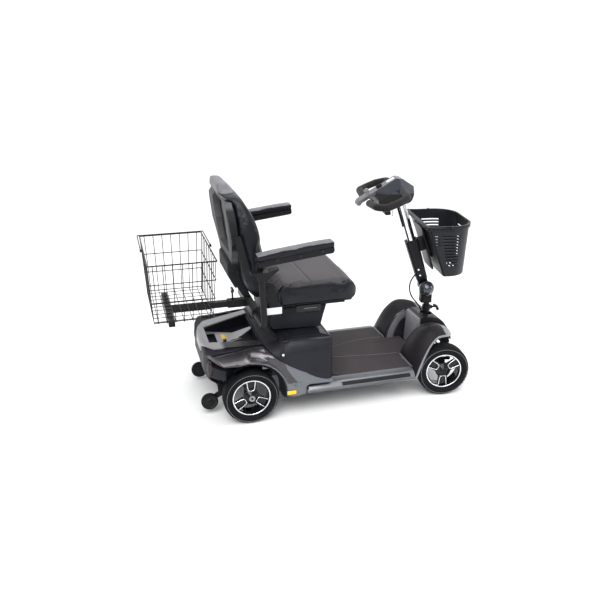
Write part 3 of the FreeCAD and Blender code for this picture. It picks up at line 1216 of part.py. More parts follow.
def arm_post(side):
    """Bent tube from the cross tube up to the armrest bracket."""
    y = ARM_Y * side
    x, z = ARM_PIVOT_X, ARM_PIVOT_Z
    tube = bent([V(x + 2, y, z - 46), V(CROSS_X, y, CROSS_Z), V(CROSS_X, 112 * side, CROSS_Z)], ARM_TUBE_R, 38)
    y0, y1 = sorted(((ARM_Y - 18) * side, (ARM_Y + 18) * side))
    plate = [(x - 41, z - 39), (x - 41, z - 33), (x + 28, z - 33), (x + 64, z - 21), (x + 64, z - 28),
             (x + 16, z - 68), (x - 12, z - 68), (x - 18, z - 48)]
    saddle = prism_xz(plate, y0, y1)
    c0, c1 = sorted(((ARM_Y - 18) * side, (ARM_Y - 14.5) * side))
    cheek = [(x - 12, z - 36), (x + 12, z - 36), (x + 9, z), (x - 9, z, x, z + 9)]
    p0, p1 = sorted(((ARM_Y - 17) * side, (ARM_Y + 18) * side))
    pin = rod(V(ARM_PIVOT_X, p0, ARM_PIVOT_Z), V(ARM_PIVOT_X, p1, ARM_PIVOT_Z), 5)
    return fuse(tube, saddle, prism_xz(cheek, c0, c1), pin)


def arm_rest(side):
    """Steel channel on the pivot pin with the padded armrest on top."""
    y = ARM_Y * side
    x, z = ARM_PIVOT_X, ARM_PIVOT_Z
    channel = box(x - 14, x + 284, y - 14, y + 14, z - 14, z + 12)
    channel = channel.cut(box(x - 15, x + 282, y - 11.5, y + 11.5, z - 15, z + 9))
    channel = channel.cut(rod(V(x, y - 20, z), V(x, y + 20, z), 5 + RUN_FIT))
    pad = box(x - 20, x + 290, y - 28, y + 28, z + 12, z + 37)
    pad = round_edges(pad, 9, lambda e: e.BoundBox.ZMin > z + 30)
    both = Part.makeCompound([channel, pad])
    return turned(both, V(x, y, z), Y, -ARM_TILT)


# ---- rear basket ----------------------------------------------------------------------------


def basket_beam():
    """Square beam from the receiver to a drilled cross bar."""
    half = BEAM / 2
    beam = box(BEAM_REAR + BEAM, BEAM_FRONT, -half, half, CROSS_Z - half, CROSS_Z + half)
    cross = box(BEAM_REAR, BEAM_REAR + BEAM, -CROSSBAR_HALF, CROSSBAR_HALF, CROSS_Z - half, CROSS_Z + half)
    cuts = []
    for i in range(-5, 6):
        cuts.append(Part.makeCylinder(3.5, 40, V(BEAM_REAR + half, i * HOLE_PITCH, CROSS_Z - 20)))
    return fuse(beam, cross).cut(cuts)


def level(t):
    """Half width and ends of the basket at a share t of its height."""
    x0 = LOW_X[0] + (RIM_X[0] - LOW_X[0]) * t
    x1 = LOW_X[1] + (RIM_X[1] - LOW_X[1]) * t
    return x0, x1, LOW_Y + (RIM_Y - LOW_Y) * t, BASKET_LOW + (BASKET_RIM_Z - BASKET_LOW) * t


def ring_bars(t, r):
    x0, x1, half, z = level(t)
    corners = [V(x0, -half, z), V(x1, -half, z), V(x1, half, z), V(x0, half, z)]
    return [bar(corners[i], corners[(i + 1) % 4], r) for i in range(4)]


def rear_basket():
    """Welded wire basket: rim, three rings, hoops both ways and the bail's pivots."""
    bars = ring_bars(1.0, RIM_WIRE)
    for t in (0.02, 0.36, 0.68):
        bars += ring_bars(t, WIRE)
    bx0, bx1, bhalf, bz = level(0.0)
    tx0, tx1, thalf, tz = level(1.0)
    for i in range(7):
        s = (i + 0.5) / 7
        low = bx0 + (bx1 - bx0) * s
        high = tx0 + (tx1 - tx0) * s
        for side in (-1, 1):
            bars.append(bar(V(low, bhalf * side, bz), V(high, thalf * side, tz), WIRE * 0.8))
        bars.append(bar(V(low, -bhalf, bz), V(low, bhalf, bz), WIRE * 0.8))
    for i in range(9):
        s = (i + 0.5) / 9
        low = -bhalf + 2 * bhalf * s
        high = -thalf + 2 * thalf * s
        for x_low, x_high in ((bx0, tx0), (bx1, tx1)):
            bars.append(bar(V(x_low, low, bz), V(x_high, high, tz), WIRE * 0.8))
        bars.append(bar(V(bx0, low, bz), V(bx1, low, bz), WIRE * 0.8))
    for x, out in ((tx0, -1), (tx1, 1)):
        bars.append(bar(V(x, 0, tz), V(x + out * 13, 0, tz), 3.0, 8))
    return fuse(*bars)


def rear_basket_handle():
    """Double wire bail that lies on the left half of the rim and swings over."""
    x0, x1 = RIM_X[0] - 9.5, RIM_X[1] + 9.5
    z = BASKET_RIM_Z
    bars = []
    for x in (x0, x1):
        bars.append(bar(V(x - 2.5, 0, z), V(x + 2.5, 0, z), 7.0, 8))
        bars.append(bar(V(x, 0, z), V(x, RIM_Y + 9, z + 1), 2.4))
    bars.append(bar(V(x0, RIM_Y + 9, z + 1), V(x1, RIM_Y + 9, z + 1), 2.4))
    bail = fuse(*bars)
    return bail.cut(rod(V(x0 - 9, 0, z), V(x1 + 9, 0, z), 3.0 + RUN_FIT + 0.1))


def beam_knob():
    """T handle screw on top of the receiver."""
    stud = Part.makeCylinder(KNOB_STUD_R, 46, V(KNOB_X, 0, CROSS_Z + BEAM / 2 + RUN_FIT))
    cross = rod(V(KNOB_X, -17, 487), V(KNOB_X, 17, 487), 6)
    collar = Part.makeCylinder(7, 10, V(KNOB_X, 0, 474))
    return fuse(stud, cross, collar)


# ---- assembly -------------------------------------------------------------------------------


def turn_with_bars(shape):
    """Puts a piece of the steered group at the rest angle of the handlebars."""
    return turned(shape, V(STEER_X, 0, 0), Z, STEER_REST)


def turn_with_knuckle(shape, side):
    return turned(shape, V(WHEELBASE, KING_Y * side, 0), Z, STEER_REST)


def shift_with_arm(shape):
    """The tie rod moves sideways on its arms and never turns."""
    a = math.radians(STEER_REST)
    copy = shape.copy()
    copy.translate(V(ARM * (math.cos(a) - 1), ARM * math.sin(a), 0))
    return copy


def build():
    nodes = {
        "main_frame": main_frame(), "front_axle_beam": front_axle_beam(), "transaxle": transaxle(), "batteries": batteries(),
        "deck_pan": deck_pan(), "deck_mat": deck_mat(), "rear_body": rear_body(),
        "rear_cover": rear_cover(), "battery_cover": battery_cover(), "side_fairings": side_fairings(),
        "lamps": lamps(), "front_fenders": front_fenders(), "front_shroud": front_shroud(),
        "anti_tip_brackets": anti_tip_brackets(), "freewheel_lever": freewheel_lever(),
        "tie_rod": shift_with_arm(tie_rod()), "seat_post": seat_post(), "seat_frame": seat_frame(),
        "storage_box": storage_box(), "seat_cushion": seat_cushion(), "backrest_shell": backrest_shell(),
        "backrest_cushion": backrest_cushion(), "swivel_lever": swivel_lever(),
        "basket_beam": basket_beam(), "rear_basket": rear_basket(),
        "rear_basket_handle": rear_basket_handle(), "beam_knob": beam_knob(),
    }
    steered = {
        "steering_stem": steering_stem, "lock_pin": lock_pin, "tiller_sleeve": tiller_sleeve,
        "tiller_tube": tiller_tube, "tiller_knob": tiller_knob, "basket_bracket": basket_bracket,
        "head_shell": head_shell, "head_console": head_console, "hand_grips": hand_grips,
        "throttle_lever": throttle_lever, "speed_dial": speed_dial, "ignition_key": ignition_key,
        "horn_button": horn_button, "head_lenses": head_lenses, "front_basket": front_basket,
        "front_basket_handle": front_basket_handle, "tiller_cable": tiller_cable,
    }
    for name, maker in steered.items():
        nodes[name] = turn_with_bars(maker())
    for name, side in SIDES:
        rear = V(0, REAR_TRACK / 2 * side, WHEEL_R)
        front = V(WHEELBASE, FRONT_TRACK / 2 * side, WHEEL_R)
        nodes["rear_tyre_" + name] = tyre(rear, side)
        nodes["rear_rim_" + name] = rim(rear, side, 90)
        nodes["front_tyre_" + name] = turn_with_knuckle(tyre(front, side), side)
        nodes["front_rim_" + name] = turn_with_knuckle(rim(front, side, 30), side)
        nodes["knuckle_" + name] = turn_with_knuckle(knuckle(side), side)
        nodes["anti_tip_wheel_" + name] = anti_tip_wheel(side)
        nodes["arm_post_" + name] = arm_post(side)
        nodes["arm_rest_" + name] = arm_rest(side)
    return nodes


def centre_shift(nodes):
    """Moves the middle of the scooter's length to x = 0."""
    boxes = [nodes[name].optimalBoundingBox() for name in ("rear_basket_handle", "rear_basket", "front_basket")]
    return -(min(b.XMin for b in boxes) + max(b.XMax for b in boxes)) / 2


def main():
    os.makedirs("parts", exist_ok=True)
    nodes = build()
    shift = centre_shift(nodes)
    print("shift along X", round(shift, 3), "nodes", len(nodes))
    for name, shape in nodes.items():
        moved = shape.copy()
        moved.translate(V(shift, 0, 0))
        moved.exportStep("parts/" + name + ".step")
        flaw = "" if moved.isValid() else " INVALID"
        print(name, len(moved.Solids), "solids", round(moved.Volume / 1000, 1), "cm3" + flaw)


main()
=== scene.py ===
import bmesh
import bpy
from math import atan2, copysign, cos, degrees, dist, exp, hypot, pi, radians, sin, sqrt
from mathutils import Matrix, Vector, geometry


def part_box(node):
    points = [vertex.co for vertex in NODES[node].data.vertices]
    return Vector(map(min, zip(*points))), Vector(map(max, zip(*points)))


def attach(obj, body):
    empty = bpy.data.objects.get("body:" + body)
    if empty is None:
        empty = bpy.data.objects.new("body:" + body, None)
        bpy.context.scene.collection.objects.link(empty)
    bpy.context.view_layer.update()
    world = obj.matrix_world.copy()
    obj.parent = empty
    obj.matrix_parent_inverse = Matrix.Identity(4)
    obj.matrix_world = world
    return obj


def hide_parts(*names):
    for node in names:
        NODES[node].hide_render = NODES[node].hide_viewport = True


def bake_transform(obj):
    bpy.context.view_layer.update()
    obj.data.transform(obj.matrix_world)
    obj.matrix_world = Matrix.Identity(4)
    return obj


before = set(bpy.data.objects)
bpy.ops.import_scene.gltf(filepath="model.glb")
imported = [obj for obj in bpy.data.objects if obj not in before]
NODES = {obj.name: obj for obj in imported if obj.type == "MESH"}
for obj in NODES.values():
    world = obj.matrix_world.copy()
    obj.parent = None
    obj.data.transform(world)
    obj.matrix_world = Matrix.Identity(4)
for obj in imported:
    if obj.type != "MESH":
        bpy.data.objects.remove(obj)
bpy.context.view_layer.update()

# ---- places, in millimetres in the drawing's own frame: rear axle at x = 0 ----
WHEEL_R = 114.3
TYRE_W = 76.0
RIM_R = 80.0
WHEELBASE = 863.0
REAR_TRACK = 486.0
FRONT_TRACK = 468.0
KING_Y = 205.0
STEER_X = 881.0
STEER_REST = -8.0
ARM_Y = 312.0
ARM_PIVOT = (40.0, 695.0)
ARM_TILT = 6.9
PIVOT = (861.0, 420.0)
TILLER_LEAN = 18.2
ANTI_TIP = (-155.0, 153.0, 59.0)
SIDES = (("left", 1), ("right", -1))
MAT_TOP = 138.2
CURVE_STEPS = 8

rim_low, rim_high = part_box("rear_rim_left")
AXLE_X = (rim_low[0] + rim_high[0]) / 2


def at(x, y, z):
    """A point of the drawing, in metres in the frame's own axes."""
    return Vector((x / 1000 + AXLE_X, y / 1000, z / 1000))


def steered(x, y, z):
    """A point drawn with the bars straight, turned to their rest angle."""
    a = radians(STEER_REST)
    dx = x - STEER_X
    return at(STEER_X + dx * cos(a) - y * sin(a), dx * sin(a) + y * cos(a), z)


# ---- materials ----
DARK = 0.035            # below this colour the surroundings' mirror image sets the brightness,
DARK_SPECULAR = 0.6     # so it is held back by this factor


def setup(thing, **values):
    """Sets attributes in the order given."""
    for key, value in values.items():
        setattr(thing, key, value)
    return thing


def add_node(mat, kind, inputs=(), **settings):
    """A shader node; each input takes a number or the output that feeds it."""
    node = setup(mat.node_tree.nodes.new("ShaderNode" + kind), **settings)
    feed(mat, node, inputs)
    return node


def feed(mat, node, inputs):
    for socket, value in dict(inputs).items():
        if isinstance(value, bpy.types.NodeSocket):
            mat.node_tree.links.new(value, node.inputs[socket])
        else:
            node.inputs[socket].default_value = value


def material(name, color, rough, metallic=0.0, coat=0.0, vary=0.12, grain=None,
             cells=False, rough_vary=0.08, patch=0.05, sheen=0.0, specular=0.5):
    """Principled surface with patchy colour and uneven gloss; grain is its strength and size in mm."""
    mat = bpy.data.materials.new(name)
    mat.use_nodes = True
    place = add_node(mat, "TexCoord").outputs["Object"]
    blotch = add_node(mat, "TexNoise", {"Scale": 1 / patch, "Detail": 4.0, "Vector": place}).outputs["Fac"]
    ramp = add_node(mat, "ValToRGB", {"Fac": blotch})
    low, high = ramp.color_ramp.elements
    setup(low, position=0.3, color=[c * (1 - vary) for c in color] + [1])
    setup(high, position=0.7, color=[min(1.0, c * (1 + vary)) for c in color] + [1])
    gloss = add_node(mat, "MapRange", {"To Min": max(0.02, rough - rough_vary),
                                       "To Max": min(1.0, rough + rough_vary), "Value": blotch})
    shader = mat.node_tree.nodes["Principled BSDF"]
    feed(mat, shader, {
        "Metallic": metallic, "Coat Weight": coat, "Coat Roughness": 0.08, "Sheen Weight": sheen,
        "Specular IOR Level": specular * (DARK_SPECULAR if max(color) < DARK else 1.0),
        "Base Color": ramp.outputs["Color"], "Roughness": gloss.outputs["Result"]})
    if grain:
        strength, size = grain[0], grain[1] / 1000
        fine = {"Scale": 1 / size, "Vector": place}
        if cells:
            height = add_node(mat, "TexVoronoi", fine, feature="DISTANCE_TO_EDGE").outputs["Distance"]
        else:
            height = add_node(mat, "TexNoise", {**fine, "Detail": 3.0}).outputs["Fac"]
        bump = add_node(mat, "Bump", {"Strength": strength, "Distance": size * 0.5, "Height": height})
        feed(mat, shader, {"Normal": bump.outputs["Normal"]})
    return mat


def zone(mat, axis, low, high, color=None, rough=None, near=None, even=False):
    """Changes a material's colour and gloss where the place along one axis, in the drawing's millimetres,
    runs from low to high. With near, it does so only where y falls from near's first value to its second,
    and with even, on both sides of the middle alike."""
    shader = mat.node_tree.nodes["Principled BSDF"]
    place = add_node(mat, "TexCoord").outputs["Object"]
    parts = add_node(mat, "SeparateXYZ", {"Vector": place}).outputs

    def ramp(value, start, end):
        return add_node(mat, "MapRange", {"From Min": start, "From Max": end,
                                          "Value": value}).outputs["Result"]

    offset = AXLE_X if axis == "X" else 0.0
    amount = ramp(parts[axis], low / 1000 + offset, high / 1000 + offset)
    if near:
        across = parts["Y"]
        if even:
            across = add_node(mat, "Math", {0: across}, operation="ABSOLUTE").outputs["Value"]
        flank = ramp(across, near[0] / 1000, near[1] / 1000)
        amount = add_node(mat, "Math", {0: amount, 1: flank}, operation="MULTIPLY").outputs["Value"]
    if color:
        old = shader.inputs["Base Color"].links[0].from_socket
        mix = add_node(mat, "Mix", {0: amount, 6: old, 7: (*color, 1)}, data_type="RGBA")
        feed(mat, shader, {"Base Color": mix.outputs[2]})
    if rough is not None:
        old = shader.inputs["Roughness"].links[0].from_socket
        mix = add_node(mat, "Mix", {0: amount, 2: old, 3: rough})
        feed(mat, shader, {"Roughness": mix.outputs[0]})
    return mat


M = {
    "steel": material("black_steel", (0.010, 0.010, 0.011), 0.34, grain=(0.15, 0.8), specular=0.25),
    "zinc": material("zinc_steel", (0.42, 0.43, 0.45), 0.34, metallic=1.0, vary=0.1, patch=0.02),
    "chrome": material("chrome", (0.86, 0.87, 0.89), 0.12, metallic=1.0, vary=0.03, rough_vary=0.03),
    "alloy": material("cast_alloy", (0.3, 0.31, 0.32), 0.5, metallic=0.9, grain=(0.3, 2)),
    "paint": material("charcoal_metallic", (0.060, 0.056, 0.060), 0.30, metallic=0.7, coat=0.5,
        specular=0.3, grain=(0.03, 0.6)),
    # silver-grey paint of the sills, tray and trims; on the fairings it also carries a painted reflection on
    # the foot and a painted highlight on the arch lip
    "silver_paint_and_painted_light": material("silver_grey_metallic_and_painted_light", (0.145, 0.155, 0.17), 0.36, metallic=0.7, coat=0.3,
        specular=0.3, vary=0.08, grain=(0.03, 0.6)),
    "silver": material("silver_plastic", (0.24, 0.245, 0.26), 0.4, metallic=0.5, coat=0.2, vary=0.06,
        specular=0.3, grain=(0.08, 0.9)),
    "textured": material("black_textured", (0.013, 0.0135, 0.018), 0.46, vary=0.15, grain=(0.55, 1.4),
        rough_vary=0.06, specular=0.22),
    "fender": material("fender_textured", (0.015, 0.013, 0.015), 0.5, vary=0.15, grain=(0.6, 1.5),
        rough_vary=0.06, specular=0.22),
    "satin": material("black_satin", (0.010, 0.010, 0.012), 0.36, grain=(0.12, 1), specular=0.25),
    "basket": material("basket_black", (0.014, 0.0145, 0.018), 0.34, grain=(0.15, 1), specular=0.3),
    "gloss": material("gloss_black", (0.006, 0.006, 0.008), 0.12, coat=0.3, rough_vary=0.04, specular=0.3),
    "panel": material("gloss_blue_grey", (0.05, 0.057, 0.068), 0.2, metallic=0.5, coat=0.6, vary=0.08,
        rough_vary=0.05, specular=0.4),
    "machined": material("machined_silver", (0.86, 0.87, 0.89), 0.25, metallic=1.0, vary=0.04),
    "rubber_mat": material("floor_rubber", (0.040, 0.034, 0.037), 0.66, vary=0.14, grain=(0.6, 1.6),
        patch=0.09, specular=0.2),
    "mat_line": material("mat_line", (0.13, 0.13, 0.14), 0.5, vary=0.1, specular=0.3),
    "tyre": material("tyre_rubber", (0.0065, 0.007, 0.0085), 0.7, vary=0.25, grain=(0.3, 1), specular=0.18),
    "grip": material("grip_foam", (0.015, 0.0125, 0.014), 0.7, vary=0.2, grain=(0.5, 1.2), sheen=0.1,
        specular=0.2),
    "vinyl_top": material("vinyl_taupe", (0.046, 0.041, 0.045), 0.55, grain=(0.35, 3.5),
        cells=True, sheen=0.1, specular=0.25),
    "vinyl": material("vinyl_black", (0.006, 0.007, 0.0105), 0.34, vary=0.15, grain=(0.3, 3), cells=True,
        specular=0.4),
    "vinyl_grey": material("vinyl_grey", (0.13, 0.13, 0.14), 0.5, grain=(0.35, 3.5), cells=True,
        sheen=0.1, specular=0.3),
    "amber": material("amber_reflector", (0.95, 0.52, 0.01), 0.3, coat=0.4, vary=0.06, grain=(0.6, 3),
        cells=True),
    "red_dark": material("dark_lens", (0.02, 0.009, 0.01), 0.1, coat=0.6, vary=0.2, specular=0.3),
    "white": material("pale_plastic", (0.75, 0.77, 0.78), 0.35, vary=0.05, coat=0.2),
    "yellow": material("yellow_plate", (0.85, 0.52, 0.01), 0.4, vary=0.08),
    "wheel_grey": material("caster_grey", (0.014, 0.014, 0.015), 0.5, grain=(0.2, 0.8), specular=0.25),
    "floor": material("floor_white", (0.9, 0.9, 0.9), 0.85, vary=0.01),
    "battery": material("battery_case", (0.03, 0.03, 0.032), 0.5, grain=(0.3, 0.8)),
    "console": material("console_silver", (0.13, 0.13, 0.135), 0.4, metallic=0.45, coat=0.15, vary=0.06,
        grain=(0.1, 0.8), specular=0.3),
}
# these change along one axis: a glossy top, a dark nose, a dark underside, a grey top that is painted
# reflection, and a dark near flank that is painted shade
M["cover"] = zone(material("cover_black", (0.0135, 0.014, 0.019), 0.5, vary=0.15, grain=(0.3, 1.2),
        specular=0.3), "Z", 318, 336, rough=0.16)
M["turret"] = zone(material("turret_grey", (0.2, 0.2, 0.21), 0.42, metallic=0.4, coat=0.2, vary=0.06,
        specular=0.3, grain=(0.1, 0.8)), "X", 822, 825, color=(0.016, 0.015, 0.017))
M["head"] = zone(material("head_blue_grey", (0.05, 0.057, 0.068), 0.16, metallic=0.5, coat=0.3, vary=0.08,
        rough_vary=0.05, specular=0.3), "Z", 862, 856, color=(0.004, 0.004, 0.005), rough=0.5)
# the grey patch over the upper middle of the shell is painted reflection on its dark textured plastic
M["shell"] = zone(material("shell_textured_with_painted_reflection", (0.012, 0.0125, 0.014), 0.55, vary=0.15, grain=(0.4, 1.2),
        specular=0.25), "Z", 640, 660, color=(0.095, 0.095, 0.1), near=(205, 185), even=True)
# the dark patch on the ring's near flank, from x = -98 forward, is painted shade; the far side stays silver
M["ring"] = zone(material("ring_silver_with_painted_shade", (0.3, 0.3, 0.31), 0.34, metallic=0.5, coat=0.2, vary=0.06,
        specular=0.3, grain=(0.1, 0.8)), "X", -98, -80, color=(0.012, 0.012, 0.014), near=(-60, -100))

# the CAD solids that stay in view
NODE_LOOK = {
    "steel": "main_frame anti_tip_brackets seat_frame front_axle_beam basket_beam rear_basket "
             "rear_basket_handle steering_stem knuckle_left knuckle_right arm_post_left arm_post_right",
    "satin": "swivel_lever lock_pin tiller_sleeve basket_bracket throttle_lever speed_dial horn_button "
             "front_basket_handle",
    "gloss": "freewheel_lever beam_knob rear_rim_left rear_rim_right front_rim_left front_rim_right",
    "zinc": "tie_rod seat_post ignition_key", "textured": "rear_body storage_box", "alloy": "transaxle",
    "wheel_grey": "anti_tip_wheel_left anti_tip_wheel_right", "battery": "batteries", "ring": "rear_cover",
    "rubber_mat": "deck_mat", "cover": "battery_cover", "turret": "front_shroud",
    "shell": "backrest_shell", "chrome": "tiller_tube", "panel": "tiller_knob", "head": "head_shell",
    "console": "head_console", "grip": "hand_grips", "white": "head_lenses", "basket": "front_basket",
}

# edge radius in metres of the moulded nodes; the rest keep a fine edge
SOFT_EDGES = {
    "battery_cover": 0.005, "rear_cover": 0.0022, "rear_body": 0.003, "front_shroud": 0.004,
    "storage_box": 0.003, "head_shell": 0.007, "head_console": 0.002, "front_basket": 0.0012,
    "tiller_sleeve": 0.002, "deck_mat": 0.0015, "backrest_shell": 0.003,
    "swivel_lever": 0.001, "basket_bracket": 0.001, "speed_dial": 0.001,
    "ignition_key": 0.0006, "throttle_lever": 0.001, "anti_tip_brackets": 0.0008,
}


def shade_smooth(obj, angle):
    """Smooth shading that keeps edges sharper than the angle."""
    bm = bmesh.new()
    bm.from_mesh(obj.data)
    for face in bm.faces:
        face.smooth = True
    for edge in bm.edges:
        if len(edge.link_faces) == 2:
            edge.smooth = edge.calc_face_angle(0.0) < radians(angle)
    bm.to_mesh(obj.data)
    bm.free()


def modify(obj, kind, **settings):
    return setup(obj.modifiers.new(kind.lower(), kind), **settings)


def dress_nodes():
    """Material and softened edges for the CAD solids that stay in view."""
    for look, names in NODE_LOOK.items():
        for name in names.split():
            obj = NODES[name]
            obj.data.materials.clear()
            obj.data.materials.append(M[look])
            modify(obj, "WELD", merge_threshold=2e-6)
            if name in SOFT_EDGES:
                modify(obj, "DECIMATE", decimate_type="DISSOLVE", angle_limit=radians(1.0))
                modify(obj, "BEVEL", width=SOFT_EDGES[name], segments=3, limit_method="ANGLE",
                       angle_limit=radians(28), use_clamp_overlap=True, harden_normals=True)


# ---- mesh helpers ----


def link(name, data):
    obj = bpy.data.objects.new(name, data)
    bpy.context.scene.collection.objects.link(obj)
    return obj


def smooth_faces(mesh):
    mesh.polygons.foreach_set("use_smooth", [True] * len(mesh.polygons))


def piece(name, mesh, looks, body="chassis", smooth=True):
    """Puts a mesh in the scene with its materials, riding on a body."""
    for look in looks:
        mesh.materials.append(M[look])
    if smooth:
        smooth_faces(mesh)
    obj = link(name, mesh)
    if body:
        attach(obj, body)
    return obj


def mesh_object(name, verts, faces, look, body="chassis", smooth=True):
    mesh = bpy.data.meshes.new(name)
    mesh.from_pydata([tuple(v) for v in verts], [], faces)
    mesh.validate()
    return piece(name, mesh, (look,), body, smooth)


def skin(obj, thickness, offset):
    """Gives a sheet its thickness, in metres."""
    modify(obj, "SOLIDIFY", thickness=thickness, offset=offset)


def ends(rows, count):
    """The two faces that close a tube of rows rings."""
    return [tuple(range(count)), tuple(range((rows - 1) * count, rows * count))]


def grid_faces(rows, cols, around=False, along=False):
    """Faces between rows of points, closed round each row with around, and from the last row to the first
    with along."""
    faces = []
    for i in range(rows if along else rows - 1):
        for j in range(cols if around else cols - 1):
            k, m = (i + 1) % rows, (j + 1) % cols
            faces.append((i * cols + j, i * cols + m, k * cols + m, k * cols + j))
    return faces


def sheet(name, verts, cols, look, body="chassis", around=False, capped=False):
    """A surface through rows of cols points each."""
    rows = len(verts) // cols
    faces = grid_faces(rows, cols, around) + (ends(rows, cols) if capped else [])
    return mesh_object(name, verts, faces, look, body)


def lathe(name, profile, centre, axis, look, body, segments=64, dent=None):
    """Surface of revolution. The profile is (distance along the axis, radius) in millimetres."""
    axis = Vector(axis).normalized()
    side = axis.orthogonal().normalized()
    up = axis.cross(side)
    verts = []
    for i in range(segments):
        angle = 2 * pi * i / segments
        direction = side * cos(angle) + up * sin(angle)
        for along, radius in profile:
            if dent:
                radius += dent(angle, along, radius)
            verts.append(centre + axis * (along / 1000) + direction * (radius / 1000))
    return mesh_object(name, verts, grid_faces(segments, len(profile), along=True), look, body)


def curve_mesh(name, points, resolution, closed=False, **bar):
    """Mesh of a smooth curve through given points."""
    curve = setup(bpy.data.curves.new(name, "CURVE"), dimensions="3D", resolution_u=resolution, **bar)
    spline = curve.splines.new("NURBS")
    spline.points.add(len(points) - 1)
    for control, point in zip(spline.points, points):
        control.co = (*point, 1)
    setup(spline, order_u=3, use_endpoint_u=not closed, use_cyclic_u=closed)
    holder = bpy.data.objects.new(name + "_line", curve)
    mesh = bpy.data.meshes.new_from_object(holder)
    bpy.data.objects.remove(holder)
    return mesh


def tube(name, points, radius, look, body="chassis", sides=10, closed=False):
    """Bar swept along a smooth curve. Radius is in millimetres."""
    mesh = curve_mesh(name, points, CURVE_STEPS, closed, bevel_depth=radius / 1000,
                      bevel_resolution=max(1, sides // 4), use_fill_caps=True)
    mesh.name = name
    mesh.materials.clear()
    return piece(name, mesh, (look,), body)


def box_mesh(name, size, place, radius=0.0, turn=None):
    """Box with rounded edges. Size and radius in millimetres, place a point in metres."""
    bm = bmesh.new()
    bmesh.ops.create_cube(bm, size=1.0)
    bmesh.ops.scale(bm, vec=[s / 1000 for s in size], verts=bm.verts)
    if radius:
        bmesh.ops.bevel(bm, geom=bm.edges[:] + bm.verts[:], offset=radius / 1000, segments=3,
                        profile=0.5, affect="EDGES", clamp_overlap=True)
    if turn:
        bmesh.ops.rotate(bm, verts=bm.verts, cent=(0, 0, 0), matrix=turn)
    bmesh.ops.translate(bm, verts=bm.verts, vec=place)
    mesh = bpy.data.meshes.new(name)
    bm.to_mesh(mesh)
    bm.free()
    return mesh


def block(name, size, place, look, radius, body="chassis", turn=None):
    obj = piece(name, box_mesh(name, size, place, radius, turn), (look,), body)
    shade_smooth(obj, 40)
    return obj


# ---- camera ----
CAMERA_PLACE = (-486.0, -2718.0, 1495.0)
CAMERA_AZIMUTH = -15.7
CAMERA_ELEVATION = 21.05
CAMERA_LENS = 41.88


def make_camera():
    data = setup(bpy.data.cameras.new("photo_camera"), lens=CAMERA_LENS, sensor_width=36.0)
    camera = link("photo_camera", data)
    a, e = radians(CAMERA_AZIMUTH), radians(CAMERA_ELEVATION)
    right = Vector((cos(a), sin(a), 0))
    forward = Vector((-sin(a) * cos(e), cos(a) * cos(e), -sin(e)))
    up = right.cross(forward)
    turn = Matrix((right, up, -forward)).transposed().to_4x4()
    camera.matrix_world = Matrix.Translation(at(*CAMERA_PLACE)) @ turn
    bpy.context.scene.camera = camera


# ---- tiller cable ----
CABLE_R = 3.2
CABLE_EXIT = (62.0, -22.9)      # along the tiller and behind it
CABLE_ROUTE = ((806, -1, 456), (796, -2, 431), (795, -3, 400), (808, -4, 366), (832, -3, 338),
               (853, -2, 311), (860, 0, 282), (862, 0, 253))


def make_cable():
    """One cord that hangs in a loop from the tiller to the steering stem."""
    points = [tiller_at(*CABLE_EXIT)] + [steered(*p) for p in CABLE_ROUTE]
    path = [v.co.copy() for v in curve_mesh("cable", points, 12).vertices]
    obj = tube("tiller_cable_smooth", points, CABLE_R, "satin", None, sides=12)
    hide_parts("tiller_cable")
    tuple(path[-12])
    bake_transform(obj)
    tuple(path[0])


# ---- wheels ----
LUGS = 44
SIDEWALL_R = 98         # the tread starts above this radius
FACE = 20.6             # of the spokes, out from the wheel's middle
# profiles as (outward, radius), and a rounded U round a window of the rim as (across, radius)
RIM_LIP = ((26, 73.2), (29.6, 73.6), (30.3, 75.0), (30.4, 78.2), (29.0, 79.6), (24, 79.6))
HUB_CAP = ((FACE + 9.6, 17), (FACE + 12.5, 16), (FACE + 14.4, 12), (FACE + 15.2, 6), (FACE + 15.4, 0.4))
HUB_NUT = ((FACE + 15.0, 6.0), (FACE + 17.5, 5.4), (FACE + 18.0, 0.4))
HALF_WINDOW = ((18.5, 73.0), (18.5 * 0.92, 63.0), (13.5, 35.0), (13.5 * 0.7, 27.0))
WINDOW = [(-x, r) for x, r in HALF_WINDOW] + list(HALF_WINDOW[::-1])
ANTI_TIP_BAND = ((-10.5, 27), (-10.8, 31), (-9, 34.2), (-4, 35.3), (4, 35.3), (9, 34.2), (10.8, 31),
                 (10.5, 27))


def tread(angle, along, radius):
    """Grooves round the crown and lugs on the shoulders, as a change of radius."""
    share = abs(along) / (TYRE_W / 2)
    if radius < SIDEWALL_R:
        return 0.0
    cut = -1.6 if 0.30 < share < 0.38 else 0.0
    phase = (angle * LUGS / (2 * pi) + (0.25 if along > 0 else 0.0)) % 1.0
    if share > 0.46 and phase < 0.24:
        cut = -1.9
    if share < 0.3 and (phase * 2) % 1.0 < 0.16:
        cut = -0.9
    return cut


def tyre_profile():
    half = TYRE_W / 2
    points = [(-half + 9, RIM_R), (-half + 5, RIM_R + 3)]
    steps = 34
    for i in range(steps + 1):
        t = -1 + 2 * i / steps
        along = half * copysign(abs(sin(t * pi / 2)) ** 0.9, t)
        radius = RIM_R + 4 + (WHEEL_R - RIM_R - 4.2) * max(0.0, 1 - abs(t) ** 3.2) ** 0.62
        points.append((along, radius))
    points += [(half - 5, RIM_R + 3), (half - 9, RIM_R)]
    return points


